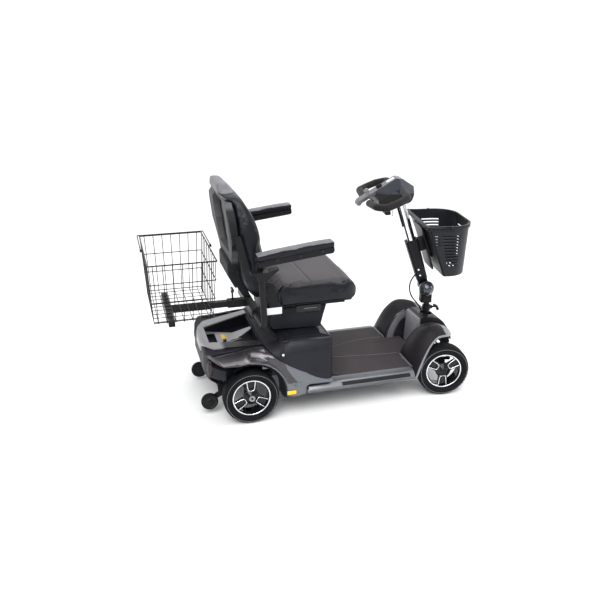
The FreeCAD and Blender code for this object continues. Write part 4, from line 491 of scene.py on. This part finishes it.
def dress_wheel(kind, name, centre, axis, spoke_angle):
    """Tyre with its lines, rim lip, hub cap with nut, and bright trim round each spoke's window."""
    body = kind + "_wheel_" + name
    tyre_piece = lathe(body + "_tread", tyre_profile(), centre, axis, "tyre", body, segments=176, dent=tread)
    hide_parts(kind + "_tyre_" + name)
    for part, profile, look, segments in (
            ("lip", RIM_LIP, "machined", 72), ("cap", HUB_CAP, "gloss", 40), ("nut", HUB_NUT, "steel", 6)):
        lathe(f"{body}_{part}", profile, centre, axis, look, body, segments=segments)
    out = Vector(axis)
    up = Vector((0, 0, 1))
    across = up.cross(out)
    circle = []
    for k in range(48):
        angle = k * pi / 24
        circle.append(centre + out * 0.0366 + (up * cos(angle) + across * sin(angle)) * 0.1035)
    tube(body + "_wall_line", circle, 1.1, "mat_line", body, sides=8, closed=True)
    for i in range(3):
        angle = radians(spoke_angle + 120 * i)
        radial = up * cos(angle) + across * sin(angle)
        tangent = out.cross(radial)
        points = [centre + out * (FACE / 1000) + radial * (r / 1000) + tangent * (x / 1000)
                  for x, r in WINDOW]
        tube(f"{body}_trim_{i}", points, 2.0, "machined", body, sides=8)


def make_wheels():
    a = radians(STEER_REST)
    for name, side in SIDES:
        rear = at(0, REAR_TRACK / 2 * side, WHEEL_R)
        dress_wheel("rear", name, rear, (0, side, 0), 0)
        offset = (FRONT_TRACK / 2 - KING_Y) * side
        front = at(WHEELBASE - offset * sin(a), KING_Y * side + offset * cos(a), WHEEL_R)
        dress_wheel("front", name, front, (-side * sin(a), side * cos(a), 0), 60)
        centre = at(ANTI_TIP[0], ANTI_TIP[1] * side, ANTI_TIP[2])
        lathe("anti_tip_band_" + name, ANTI_TIP_BAND, centre, (0, 1, 0), "tyre", "anti_tip_" + name,
              segments=48)


# ---- moulded panels ----
OUTLINE_STEP = 6.0
SPACING = 4.0           # of a panel's points
ROLL = 2.5              # radius of a panel's rolled rim


def arc(p, m, q, steps):
    """Points from p to q on the circle through m, without p."""
    (ax, ay), (bx, by), (cx, cy) = p, m, q
    d = 2 * (ax * (by - cy) + bx * (cy - ay) + cx * (ay - by))
    a2, b2, c2 = ax * ax + ay * ay, bx * bx + by * by, cx * cx + cy * cy
    ux = (a2 * (by - cy) + b2 * (cy - ay) + c2 * (ay - by)) / d
    uy = (a2 * (cx - bx) + b2 * (ax - cx) + c2 * (bx - ax)) / d
    radius = hypot(ax - ux, ay - uy)
    start, middle, end = (atan2(y - uy, x - ux) for x, y in (p, m, q))
    turn = (end - start) % (2 * pi)
    if (middle - start) % (2 * pi) > turn:
        turn -= 2 * pi
    angles = [start + turn * i / steps for i in range(1, steps + 1)]
    return [(ux + radius * cos(a), uy + radius * sin(a)) for a in angles]


def outline(points):
    """Closed outline: (x, z) is a straight run, (x, z, mx, mz) an arc through (mx, mz)."""
    ring = []
    last = points[0][:2]
    for point in points[1:] + points[:1]:
        end = point[:2]
        if len(point) == 4:
            length = dist(last, point[2:]) + dist(point[2:], end)
            ring += arc(last, point[2:], end, max(2, round(length / OUTLINE_STEP)))
        else:
            count = max(1, round(dist(last, end) / OUTLINE_STEP))
            ring += [tuple(last[k] + (end[k] - last[k]) * i / count for k in range(2))
                     for i in range(1, count + 1)]
        last = end
    return ring


def path_distance(p, path):
    """Distance of p from an open line of points."""
    best = 1e9
    for a, b in zip(path, path[1:]):
        abx, aby = b[0] - a[0], b[1] - a[1]
        share = ((p[0] - a[0]) * abx + (p[1] - a[1]) * aby) / (abx * abx + aby * aby + 1e-12)
        share = min(1.0, max(0.0, share))
        best = min(best, hypot(p[0] - a[0] - abx * share, p[1] - a[1] - aby * share))
    return best


def inside(p, ring):
    hit = False
    for (x0, y0), (x1, y1) in zip(ring, ring[1:] + ring[:1]):
        if (y0 > p[1]) != (y1 > p[1]) and p[0] < (x1 - x0) * (p[1] - y0) / (y1 - y0) + x0:
            hit = not hit
    return hit


def panel(name, ring, surface, looks, relief, pick):
    """Moulded skin over an outline: surface(u, v) gives a point in millimetres, relief(u, v) how far
    it stands proud, and the rim is rolled back by a small radius."""
    closed = ring + ring[:1]
    us, vs = [p[0] for p in ring], [p[1] for p in ring]
    points = list(ring)
    u = min(us) + SPACING / 2
    odd = False
    while u < max(us):
        v = min(vs) + (SPACING / 2 if odd else SPACING)
        while v < max(vs):
            if inside((u, v), ring) and path_distance((u, v), closed) > SPACING * 0.55:
                points.append((u, v))
            v += SPACING
        u += SPACING * 0.87
        odd = not odd
    count = len(ring)
    edges = [(i, (i + 1) % count) for i in range(count)]
    flat, _, faces, *_ = geometry.delaunay_2d_cdt([Vector(p) for p in points], edges, [], 1, 1e-4)
    bm = bmesh.new()
    for u, v in flat:
        here = Vector(surface(u, v))
        du = Vector(surface(u + 0.5, v)) - Vector(surface(u - 0.5, v))
        dv = Vector(surface(u, v + 0.5)) - Vector(surface(u, v - 0.5))
        normal = du.cross(dv).normalized()
        if normal.y * here.y < 0 and abs(normal.y) > 0.2 or normal.z < -0.5:
            normal = -normal
        distance = path_distance((u, v), closed)
        here += normal * relief(u, v)
        if distance < ROLL:
            here -= normal * (ROLL - sqrt(max(0.0, ROLL * ROLL - (ROLL - distance) ** 2)))
        bm.verts.new(at(*here))
    bm.verts.ensure_lookup_table()
    for face in faces:
        try:
            made = bm.faces.new([bm.verts[i] for i in face])
        except ValueError:
            continue
        made.material_index = pick(*(sum(flat[i][k] for i in face) / len(face) for k in range(2)))
    bm.normal_update()
    centre = sum((v.co for v in bm.verts), Vector()) / len(bm.verts)
    if sum(f.normal.dot(f.calc_center_median() - Vector((centre.x, 0, 0.15))) for f in bm.faces) < 0:
        bmesh.ops.reverse_faces(bm, faces=bm.faces)
    mesh = bpy.data.meshes.new(name)
    bm.to_mesh(mesh)
    bm.free()
    obj = piece(name, mesh, looks)
    skin(obj, 0.002, -1)
    return obj


# half sections of the body: shoulder, top edge and middle of the bend, as (across, up), at three stations
STATIONS = ((-172.0, (281.0, 248.0), (142.0, 290.0), (251.0, 276.0)),
            (66.0, (281.0, 258.0), (195.0, 311.0), (258.0, 287.0)),
            (165.0, (281.0, 270.0), (221.0, 350.0), (267.0, 322.0)))
BEND_STEPS = 40
BENDS = [arc(foot, bend, top, BEND_STEPS) for _, foot, top, bend in STATIONS]
# the plan's rear corner is an arc; ahead of its end the flank flares out a little
CORNER_END = (-108.0, 269.0)
FLARE, FLARE_RUN = 12, 451
TAIL_CORNER = arc((-172.0, 118.0), (-152.0, 205.0), CORNER_END, 400)


def section(x, v):
    """Point of the body's flank at x; v runs 0 to 100 over the bend and is a height below the shoulder when
    negative."""
    i = 0 if x <= STATIONS[1][0] else 1
    share = (x - STATIONS[i][0]) / (STATIONS[i + 1][0] - STATIONS[i][0])
    share = max(0.0, min(1.0, share))

    def blend(a, b, part):
        return [a[k] + (b[k] - a[k]) * part for k in range(2)]

    if v <= 0:
        y, z = blend(STATIONS[i][1], STATIONS[i + 1][1], share)
        z += v
    else:
        place = min(v, 100.0) / 100 * BEND_STEPS
        low = min(BEND_STEPS - 1, int(place))
        tips = [blend(BENDS[k][low - 1] if low else STATIONS[k][1], BENDS[k][low], place - low)
                     for k in (i, i + 1)]
        y, z = blend(*tips, share)
    if x > CORNER_END[0]:
        y = min(y, CORNER_END[1] + FLARE * (x - CORNER_END[0]) / FLARE_RUN)
    else:
        y = min(y, min(TAIL_CORNER, key=lambda p: abs(p[0] - x))[1])
    return y, z


def bend_share(x, z):
    """The v of section() at a height."""
    low = section(x, 0)[1]
    if z <= low:
        return z - low
    a, b = 0.0, 100.0
    for _ in range(24):
        m = (a + b) / 2
        if section(x, m)[1] < z:
            a = m
        else:
            b = m
    return a


ARCH_R = 148.0
GROOVE = [(6, 288), (40, 283), (75, 268), (108, 243), (136, 210), (160, 177), (184, 150)]


def make_fairings():
    """Painted flanks with the swoosh over the wheel, the arch lip and the foot; the lighter colour on the
    foot is painted reflection of the floor, and on the front of the arch lip a painted highlight.
    """
    lip = sin(radians(14)) * ARCH_R
    up = radians(48)
    side_view = outline([
        (-153.0, 291.0), (66.0, 310.0), (67.0, 309.0), (138.0, 257.0), (231.0, 203.0, 180.0, 228.0),
        (342.5, 159.5, 283.0, 173.5), (342.5, 143.0), (244.0, 143.0), (230.0, 129.0, 234.0, 139.0),
        (230.0, 112.0), (214.0, 101.0, 227.0, 104.0), (156.0, 100.0, 184.0, 95.0),
        (sqrt(ARCH_R ** 2 - 100), WHEEL_R - 10),
        (-lip, WHEEL_R + sqrt(ARCH_R ** 2 - lip ** 2), ARCH_R * cos(up), WHEEL_R + ARCH_R * sin(up)),
        (-120.0, 262.0, -80.0, 258.0), (-166.0, 276.0)])
    ring = [(x, bend_share(x, z)) for x, z in side_view]
    # the foot takes the lighter colour, which is painted reflection of the floor
    foot = [(133, 262), (148, 226), (170, 190), (192, 160), (230, 158), (343, 158), (343, 200), (133, 300)]

    def relief(x, v):
        z = section(x, v)[1]
        near = path_distance((x, z), GROOVE)
        out = -4.5 * bell(near, 9.0) + 1.6 * bell(near - 17.0, 8.0)
        rim = hypot(x, z - WHEEL_R) - ARCH_R
        if x > -60 and rim < 14:
            out += 1.2 * bell(rim - 4.0, 4.5) - 1.2 * bell(rim - 13.0, 4.0)
        return min(out, 0.0) if v < 0 else out

    # faces of the foot take the lighter colour as painted reflection, and a band along the front half of the
    # arch lip takes it as a painted highlight over the raised lip
    def pick(x, v):
        z = section(x, v)[1]
        if inside((x, z), foot) or x > 150 and z < 158:
            return 1
        rim = hypot(x, z - WHEEL_R) - ARCH_R
        return 1 if rim < 7 and x > 0 else 0

    for name, side in SIDES:
        def surface(x, v, side=side):
            y, z = section(x, v)
            return x, y * side, z

        flank = panel("fairing_" + name, ring, surface, ("paint", "silver_paint_and_painted_light"), relief, pick)
        if side > 0:
            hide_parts("side_fairings")


# ---- bodywork details ----


def strip(name, centres, normals, look, half=13, thickness=1.3):
    """Flat band with a crowned face along a line of points in the drawing's frame."""
    verts = []
    profile = ((-1, 0), (-0.92, 0.8), (-0.4, 1.6), (0.4, 1.6), (0.92, 0.8), (1, 0))
    for centre, normal in zip(centres, normals):
        for share, up in profile:
            verts.append(at(*(Vector(centre) + Vector((half, 0, 0)) * share
                              + Vector(normal) * up * thickness)))
    obj = sheet(name, verts, len(profile), look, around=True)
    shade_smooth(obj, 50)
    return obj


def tail_lamp(name, side):
    """Oval dark lens with a raised rim in the rounded rear corner."""
    turn = radians(38)
    normal = Vector((-cos(turn) * 0.99, sin(turn) * side, 0.1)).normalized()
    wide = Vector((sin(turn), cos(turn) * side, 0)).normalized()
    tall = normal.cross(wide)
    centre = Vector((-155.5, 201.0 * side, 232.0))
    verts = []
    rings = ((34, 15.2, -4), (34, 15.2, 1.6), (32.6, 14.0, 2.6), (31.2, 12.6, 1.2), (28, 11, 2.6),
             (18, 7, 4.4), (8, 3, 5.2), (0.2, 0.1, 5.4))
    for high, half, out in rings:
        for i in range(48):
            angle = 2 * pi * i / 48
            verts.append(at(*(centre + tall * high * cos(angle) + wide * half * sin(angle)
                              + normal * out)))
    return sheet("tail_lamp_" + name, verts, 48, "red_dark", around=True)


def make_lamps():
    for name, side in SIDES:
        lens = tail_lamp(name, side)
        reflector = block("reflector_" + name, (37.6, 3.6, 16.6), at(165, 279.5 * side, 118.5), "amber", 1.6)
        if side > 0:
            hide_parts("lamps")


def make_arch_liners():
    """Black inner wall of each rear wheel arch."""
    for name, side in SIDES:
        verts = []
        steps = 22
        for i in range(steps + 1):
            angle = radians(-8 + 128 * i / steps)
            for y, radius in ((270, 146.5), (262, 138), (240, 134.5), (214, 134.5), (200, 132)):
                if degrees(angle) > 100:
                    radius = min(radius, 140)
                verts.append(at(cos(angle) * radius, y * side, WHEEL_R + sin(angle) * radius))
        sheet("arch_liner_" + name, verts, 5, "textured")


def make_tail_details():
    """Dark front wall of the well, the bare yellow plate, and the slotted guide of the drive release."""
    block("well_wall", (16, 330, 66), at(69, 0, 272), "textured", 1.5)
    block("plate_yellow", (18, 44, 1.0), at(-62, 10, 272.6), "yellow", 0.4)
    turn = Matrix.Rotation(radians(22), 3, "Z")
    block("guide", (62, 18, 2.4), at(-20, -40, 274.0), "silver", 1.0, turn=turn)
    block("guide_slot", (44, 5, 1.4), at(-20, -40, 275.4), "gloss", 0.6, turn=turn)
    screw = ((0, 5.5), (2.2, 5.2), (3.0, 3.8), (2.2, 2.6), (2.2, 0.3))
    lathe("guide_screw", screw, at(4, -31, 280), (0, 0, 1), "gloss", "chassis", segments=24)


def make_cover_details():
    """Glossy bead on the shoulder of the battery cover, and its strap with a stud, on both sides."""
    for name, side in SIDES:
        beads = []
        for x in (118, 132, 150, 175, 205, 240, 275, 300, 318, 328):
            y, z = section(x, 74)
            rise = -0.6 if 125 < x < 322 else -2.4
            beads.append(at(x, (y + rise) * side, z + rise))
        tube("cover_bead_" + name, beads, 2.6, "gloss", sides=12)
        centres, normals = [], []
        for i in range(15):
            v = -2 + 102 * min(1.0, i / 12)
            x = 127 + 16 * i / 14
            y, z = section(x, v)
            if i > 12:
                y -= 8 * (i - 12)
            y1, z1 = section(x, v + 1)
            normal = Vector((0, (z1 - z) * side, y - y1)).normalized() if i < 12 else Vector((0, 0, 1))
            centres.append((x, y * side, z))
            normals.append(normal)
        strip("cover_strap_" + name, centres, normals, "fender")
        y, z = section(130, 24)
        lathe("cover_stud_" + name, [(0, 5), (2.6, 4.8), (3.6, 3.6), (4, 0.3)], at(131, (y + 1.4) * side, z),
              (0, side, 0.25), "white", "chassis", segments=28)


SILL = ((222, 132.5), (222, 137.2), (230, 138.3), (246, 135.5), (257, 132.8), (262.5, 129.6), (276.5, 115.2),
        (279.6, 111.0), (280.5, 106.5), (277, 103.4), (270, 103.4), (270, 108), (258, 121), (240, 128))
SILL_SLOPE = radians(44.2)


def make_sills():
    """Deck edges that slope down and out, with the floor tray between them."""
    stations = (232, 233.2, 300, 400, 500, 600, 700, 713, 714)
    middle = (250, 118)
    for name, side in SIDES:
        verts = []
        for x in stations:
            inset = 1.2 if x in (stations[0], stations[-1]) else 0.0
            for y, z in SILL:
                y1 = y + (middle[0] - y) * inset / 20
                z1 = z + (middle[1] - z) * inset / 20
                if x < 244 and z1 > 112:
                    z1 = min(z1, 112 + (x - 230) * 1.9)
                verts.append(at(x, y1 * side, z1))
        sill = sheet("sill_" + name, verts, len(SILL), "silver_paint_and_painted_light", around=True, capped=True)
        shade_smooth(sill, 28)
        if side > 0:
            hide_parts("deck_pan")
    plan = [(302, -205), (345, -230), (715, -230), (715, -133), (722, -125), (803, -125)]
    plan = plan + [(x, -y) for x, y in reversed(plan)]
    count = len(plan)
    verts = [at(x, y, z) for z in (126.2, 131.9) for x, y in plan]
    faces = ends(2, count) + grid_faces(2, count, around=True)
    tray = mesh_object("floor_tray", verts, faces, "silver_paint_and_painted_light", smooth=False)


def make_deck_details():
    """Lines on the mat, the edge trim of the deck, and the inserts of the sills."""
    for number, line in enumerate(([(352, -38), (426, -45), (552, -66), (642, -75), (712, -81)],
                                   [(352, 38), (456, 62), (568, 96), (639, 105), (706, 103)])):
        tube(f"mat_line_{number}", [at(x, y, MAT_TOP) for x, y in line], 1.1, "mat_line", sides=8)
    for name, side in SIDES:
        turn = Matrix.Rotation(SILL_SLOPE * side, 3, "X")
        for part, x, size, look, radius in (("insert", 539.5, (307, 1.8, 17.0), "fender", 0.7),
                                            ("plate", 309, (138, 1.4, 15.5), "silver", 0.6)):
            block(f"sill_{part}_{name}", size, at(x, 269.6 * side, 122.5), look, radius, turn=turn)
        trim = [at(x, y * side, 138.6) for x, y in ((711, 127), (714, 170), (713, 222))]
        tube("deck_trim_" + name, trim, 1.6, "silver_paint_and_painted_light", sides=8)


# front mudguards: the wheel's middle (x, z), the inner edge and the lip from the deck to the nose, how far
# the shell bulges between them, and where its front tip turns silver
FENDER_HUB = (863.0, 114.0)
FENDER_INNER = ((724, 90, 137), (729, 91, 163), (740, 92, 190), (755, 94, 218), (774, 95, 244),
                (799, 95, 262), (832, 95, 271), (864, 95, 271), (896, 95, 265), (925, 97, 251),
                (948, 102, 233))
FENDER_LIP = ((726, 258, 97), (740, 256, 138), (763, 250, 187), (790, 241, 228), (822, 230, 257),
              (850, 219, 262), (884, 202, 256), (910, 182, 246), (930, 160, 236), (945, 138, 226),
              (953, 122, 219))
FENDER_BULGE = 27.0
FENDER_SPLIT = 884.0
FENDER_FLAP = ((914, 110, 240), (934, 116, 232), (952, 121, 218), (922, 109, 224), (938, 113, 208),
               (955, 117, 190))
FENDER_FOOT = ((718, 96, 140.5), (717, 150, 140.6), (717, 200, 140.4), (718.5, 230, 139))
FLOOR_Z = 132.5         # the walls inside the mudguards end here


def on_curve(points, share):
    """Place a share of the way along a smooth curve through points."""
    last = len(points) - 1
    i = min(last - 1, int(share * last))
    u = share * last - i
    p0, p1, p2, p3 = (Vector(points[max(0, min(last, i + k))]) for k in (-1, 0, 1, 2))
    return 0.5 * ((2 * p1) + (p2 - p0) * u + (2 * p0 - 5 * p1 + 4 * p2 - p3) * u ** 2
                  + (3 * p1 - p0 - 3 * p2 + p3) * u ** 3)


def from_hub(point):
    """Direction from the mudguard's centre line out to a point, in its own upright plane."""
    return Vector((point.x - FENDER_HUB[0], 0, point.z - FENDER_HUB[1])).normalized()


def fender_point(share, across, side, sink=0.0):
    """Mudguard surface: share runs 0 to 1 from the deck to the nose, across from inner edge to lip."""
    inner = on_curve(FENDER_INNER, share)
    lip = on_curve(FENDER_LIP, share)
    place = inner.lerp(lip, across)
    bulge = FENDER_BULGE * sin(pi * share ** 0.8) * sin(pi * across ** 1.3)
    place += from_hub(place) * (bulge - sink)
    return Vector((max(place.x, 717.0 - max(0.0, place.z - 141.0) * 0.4), place.y * side, place.z))


def make_fenders():
    """Crowned mudguards with a rolled silver lip, a gloss bead, a grey band and a dark wall inside, a pale
    front tip, a flap behind it and a foot on the deck."""
    rows, cols = 45, 17
    shares = [i / (rows - 1) for i in range(rows)]
    split = at(FENDER_SPLIT, 0, 0).x
    for name, side in SIDES:
        verts = [at(*fender_point(v, j / (cols - 1), side)) for v in shares for j in range(cols)]
        shell = sheet("fender_shell_" + name, verts, cols, "fender")
        shell.data.materials.append(M["silver"])
        if side < 0:
            shell.data.flip_normals()
        for face in shell.data.polygons:
            face.material_index = int(face.center.x > split)
        skin(shell, 0.003, -side)
        if side > 0:
            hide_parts("front_fenders")
        band = []
        for v in shares:
            for sink in (2.0, 12.0, 26.0, 38.0):
                place = fender_point(v, 0.0, side, sink)
                band.append(at(place.x, place.y - side * (1.5 + sink * 0.06), max(place.z, FLOOR_Z)))
        wall = sheet("fender_band_" + name, band, 4, "silver")
        skin(wall, 0.0025, 0)
        liner = []
        for v in shares[:30]:
            for sink in (36.0, 60.0, 90.0, 125.0):
                place = fender_point(v, 0.0, side, sink)
                liner.append(at(min(place.x, 842.0), place.y + side * 3.0, max(place.z, FLOOR_Z)))
        skin(sheet("fender_liner_" + name, liner, 4, "textured"), 0.003, 0)
        bead = [at(*fender_point(v, 0.0, side, 3.0)) for v in shares[1:-1]]
        tube("fender_bead_" + name, bead, 4.6, "panel", sides=16)
        lip, count = [], 14
        for v in shares:
            place = fender_point(v, 1.0, side, 3.5)
            out = from_hub(place)
            for k in range(count):
                turn = 2 * pi * k / count
                lip.append(at(*(place + out * (5.5 * cos(turn))
                                + Vector((0, side * 2.2 * sin(turn), 0)))))
        roll = sheet("fender_lip_" + name, lip, count, "silver", around=True, capped=True)
        flap, foot = ([at(x, y * side, z) for x, y, z in points] for points in (FENDER_FLAP, FENDER_FOOT))
        skin(sheet("fender_flap_" + name, flap, 3, "textured"), 0.003, -1)
        tube("fender_foot_" + name, foot, 2.0, "silver", sides=12)


def tiller_at(along, ahead, left=0.0):
    """A point by its place along the tiller's axis, ahead of it and to its left."""
    a = radians(TILLER_LEAN)
    return steered(PIVOT[0] - along * sin(a) + ahead * cos(a), left,
                   PIVOT[1] + along * cos(a) + ahead * sin(a))


def make_tiller_details():
    """Latch, screws, lead and bag hook on the tiller."""
    axis = (tiller_at(100, 0) - tiller_at(0, 0)).normalized()
    right = (tiller_at(0, 0, -10) - tiller_at(0, 0, 0)).normalized()
    back = (tiller_at(0, -10) - tiller_at(0, 0)).normalized()
    turn = Matrix((back, -right, axis)).transposed()
    block("latch_frame", (2.4, 20, 34), tiller_at(205, -23.2, -6), "gloss", 1.0, "tiller", turn)
    block("latch_key", (3.4, 9, 20), tiller_at(206, -24.0, -6), "satin", 1.0, "tiller", turn)
    screw = ((0, 4.6), (1.4, 4.4), (1.8, 3.2), (1.0, 1.8), (1.0, 0.2))
    for number, height in enumerate((89, 61)):
        lathe(f"sleeve_screw_{number}", screw, tiller_at(height, -8, -24.6), right, "machined", "tiller",
              segments=24)
    lead = [tiller_at(height, -20.5, -8) for height in (300, 330, 362, 398)]
    tube("tiller_lead", lead, 3.4, "satin", "tiller")
    hook = [tiller_at(*p, -12) for p in ((398, -46), (372, -48), (364, -52), (366, -58))]
    tube("bag_hook", hook, 1.8, "zinc", "tiller", sides=8)


def make_box_details():
    """Grip slot and bare white plate on the storage box's right side."""
    block("box_slot", (104, 2.0, 30), at(267, -169.6, 437), "gloss", 1.0, "seat")
    block("box_slot_bar", (54, 3.0, 5), at(274, -170.6, 438), "silver_paint_and_painted_light", 1.2, "seat")
    block("plate_white", (70, 1.2, 28), at(98, -253.6, 474), "white", 0.5, "seat")


# ---- soft goods ----
CLOTH_FRAMES = 20
CLOTH = dict(quality=5, mass=0.3, tension_stiffness=25, compression_stiffness=25, bending_stiffness=0.6,
             use_pressure=True)


def copy_solid(node, name):
    """A welded copy of a CAD solid's mesh."""
    bm = bmesh.new()
    bm.from_mesh(NODES[node].data)
    bmesh.ops.remove_doubles(bm, verts=bm.verts, dist=1e-5)
    mesh = bpy.data.meshes.new(name)
    bm.to_mesh(mesh)
    bm.free()
    return link(name, mesh)


def run_modifiers(obj):
    """Applies every modifier on obj."""
    graph = bpy.context.evaluated_depsgraph_get()
    graph.update()
    mesh = bpy.data.meshes.new_from_object(obj.evaluated_get(graph))
    obj.modifiers.clear()
    obj.data = mesh


def groove(obj, depth_at):
    """Sinks a surface along its normals: depth_at gives the depth in metres at a point."""
    bm = bmesh.new()
    bm.from_mesh(obj.data)
    bm.normal_update()
    for v in bm.verts:
        v.co -= v.normal * depth_at(v.co, v.normal)
    bm.to_mesh(obj.data)
    bm.free()


def inflate(obj, voxel, cap, pressure=4.0, smooth=14):
    """Padded fabric: remeshed, relaxed, blown up as cloth with no point moving past cap, and
    subdivided."""
    modify(obj, "REMESH", mode="VOXEL", voxel_size=voxel)
    modify(obj, "SMOOTH", factor=0.5, iterations=smooth)
    run_modifiers(obj)
    start = [v.co.copy() for v in obj.data.vertices]
    cloth = modify(obj, "CLOTH")
    setup(cloth.settings, **CLOTH, uniform_pressure_force=pressure)
    cloth.settings.effector_weights.gravity = 0
    scene = bpy.context.scene
    for number in range(1, CLOTH_FRAMES + 1):
        scene.frame_set(number)
    run_modifiers(obj)
    scene.frame_set(1)
    for v, home in zip(obj.data.vertices, start):
        step = v.co - home
        if step.length > cap:
            v.co = home + step * (cap / step.length)
    modify(obj, "SUBSURF", levels=1, render_levels=1)
    run_modifiers(obj)


def paint_faces(obj, looks, pick):
    obj.data.materials.clear()
    for look in looks:
        obj.data.materials.append(M[look])
    for face in obj.data.polygons:
        face.material_index = pick(face.center, face.normal)
    smooth_faces(obj.data)


def bell(distance, width):
    return exp(-(distance / width) ** 2)


def make_seat():
    """Seat pad with a cross seam, a welt round its top and a slight dish."""
    obj = copy_solid("seat_cushion", "seat_pad")
    groove(obj, lambda p, n: 0.004)
    inflate(obj, 0.006, 0.010)
    low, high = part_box("seat_cushion")
    seam_x = at(262, 0, 0).x
    edge_in = 0.024

    def depth(p, n):
        top = max(0.0, n.z)
        cross = bell(p.x - seam_x, 0.0035) * top * 0.0035
        side = min(p.y - low[1], high[1] - p.y, high[0] - p.x)
        rim = bell(side - edge_in, 0.0035) * (0.003 if n.z > 0.3 else 0.0)
        dish = 0.006 * bell(p.y, 0.13) * top * bell(p.x - at(235, 0, 0).x, 0.11)
        return cross + rim + dish

    groove(obj, depth)

    def pick(c, n):
        side = min(c.y - low[1], high[1] - c.y, high[0] - c.x)
        if n.z > 0.2 and abs(side - edge_in) < 0.0028:
            return 2
        return 0 if n.z > 0.35 and side > edge_in else 1

    paint_faces(obj, ("vinyl_top", "vinyl", "gloss"), pick)
    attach(obj, "seat")
    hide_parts("seat_cushion")


def make_back():
    """Back pad with two upright seams, one across, and a grey headrest."""
    obj = copy_solid("backrest_cushion", "back_pad")
    groove(obj, lambda p, n: 0.003)
    inflate(obj, 0.006, 0.005, pressure=1.6, smooth=30)
    half = 0.148
    head_z = at(0, 0, 912).z

    def depth(p, n):
        front = max(0.0, n.x)
        line = bell(abs(p.y) - half, 0.004) * (0.004 if p.z < head_z else 0.0) * front
        across = bell(p.z - at(0, 0, 700).z, 0.004) * (0.003 if abs(p.y) < half else 0.0) * front
        return line + across

    groove(obj, depth)

    def pick(c, n):
        if c.z > head_z + 0.01:
            return 2
        return 0 if abs(c.y) < half and n.x > 0.2 else 1

    paint_faces(obj, ("vinyl_top", "vinyl", "vinyl_grey"), pick)
    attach(obj, "back")
    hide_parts("backrest_cushion")


ARM_SECTION = ((-11.6, -14), (-14, -14), (-14, 9), (-11, 12), (11, 12), (14, 9), (14, -14), (11.6, -14),
               (11.6, 8.4), (9.5, 9.4), (-9.5, 9.4), (-11.6, 8.4))
ARM_STATIONS = (-14, -8, 276, 284)


def make_arm_pads():
    """Soft pad on a channel with three holes a side; its ends are cut back below."""
    turn = Matrix.Rotation(-radians(ARM_TILT), 4, "Y")
    hole = ((0.1, 0.2), (0.1, 3.4), (0.5, 4.6), (0.1, 5.2))
    for name, side in SIDES:
        place = Matrix.Translation(at(ARM_PIVOT[0], ARM_Y * side, ARM_PIVOT[1])) @ turn
        form = box_mesh("arm_pad_form_" + name, (300, 50, 22), (0.135, 0, 0.0245))
        pad = link("arm_pad_soft_" + name, form)
        inflate(pad, 0.004, 0.004, pressure=3.0, smooth=8)
        groove(pad, lambda p, n: bell(p.z - 0.021, 0.0016) * 0.0016 if abs(n.z) < 0.7 else 0.0)
        pad.data.transform(place)
        paint_faces(pad, ("vinyl_grey", "vinyl"), lambda c, n: 0 if n.z > 0.55 else 1)
        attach(pad, "arm_pad_" + name)
        verts = []
        for x in ARM_STATIONS:
            for y, z in ARM_SECTION:
                lift = 6 if x in (ARM_STATIONS[0], ARM_STATIONS[-1]) and z < 0 else 0
                verts.append(place @ Vector((x / 1000, y / 1000, (z + lift) / 1000)))
        rows, count = len(ARM_STATIONS), len(ARM_SECTION)
        first, last = ends(rows, count)
        faces = grid_faces(rows, count, around=True) + [first[::-1], last]
        channel = mesh_object("arm_channel_" + name, verts, faces, "satin", "arm_pad_" + name, smooth=False)
        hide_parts("arm_rest_" + name)
        for x in (62, 150, 238):
            for face in (-14.2, 14.2):
                lathe(f"arm_hole_{name}_{x}_{face > 0}", hole, place @ Vector((x / 1000, face / 1000, 0)),
                      (0, copysign(1, face), 0), "gloss", "arm_pad_" + name, segments=20)


# ---- light and floor ----


def light(name, kind, direction, place=(0, 0, 0), **settings):
    lamp = link(name, setup(bpy.data.lights.new(name, kind), **settings))
    lamp.location = place
    lamp.rotation_euler = Vector(direction).to_track_quat("-Z", "Y").to_euler()


def make_studio():
    """White floor that sweeps up into a backdrop behind the scooter."""
    ahead = Vector((0.27, 0.963, 0))
    across = Vector((0.963, -0.27, 0))
    profile = [(-25.0, 0.0), (6.0, 0.0), (24.0, 0.0)]
    for i in range(1, 13):
        angle = pi / 2 * i / 12
        profile.append((24.0 + 12.0 * sin(angle), 12.0 - 12.0 * cos(angle)))
    profile.append((36.0, 40.0))
    verts = []
    for out, up in profile:
        for along in (-60.0, 0.0, 60.0):
            verts.append(ahead * out + across * along + Vector((0, 0, up)))
    floor = sheet("floor", verts, 3, "floor", body=None)
    world = bpy.data.worlds.new("studio")
    world.use_nodes = True
    background = world.node_tree.nodes["Background"]
    background.inputs["Color"].default_value = (0.97, 0.98, 1.0, 1)
    background.inputs["Strength"].default_value = 0.5
    bpy.context.scene.world = world
    light("sun", "SUN", (0.25, 0.7, -1.0), energy=2.3, angle=radians(50))
    for name, place, target, size, power in (
            ("key", (-1.6, -2.6, 3.0), (0, 0, 0.4), (1.6, 1.6), 40),
            ("top", (0.6, 0.4, 3.2), (0, 0, 0.3), (2.4, 0.9), 40),
            ("side", (3.0, -1.2, 1.8), (0, 0, 0.4), (1.0, 1.4), 30)):
        light(name, "AREA", Vector(target) - Vector(place), place, shape="RECTANGLE", size=size[0],
              size_y=size[1], energy=power)
    bpy.context.scene.view_settings.view_transform = "Standard"


make_camera()
make_cable()
dress_nodes()
make_wheels()
make_fairings()
make_lamps()
make_arch_liners()
make_tail_details()
make_cover_details()
make_sills()
make_deck_details()
make_fenders()
make_tiller_details()
make_box_details()
make_seat()
make_back()
make_arm_pads()
make_studio()
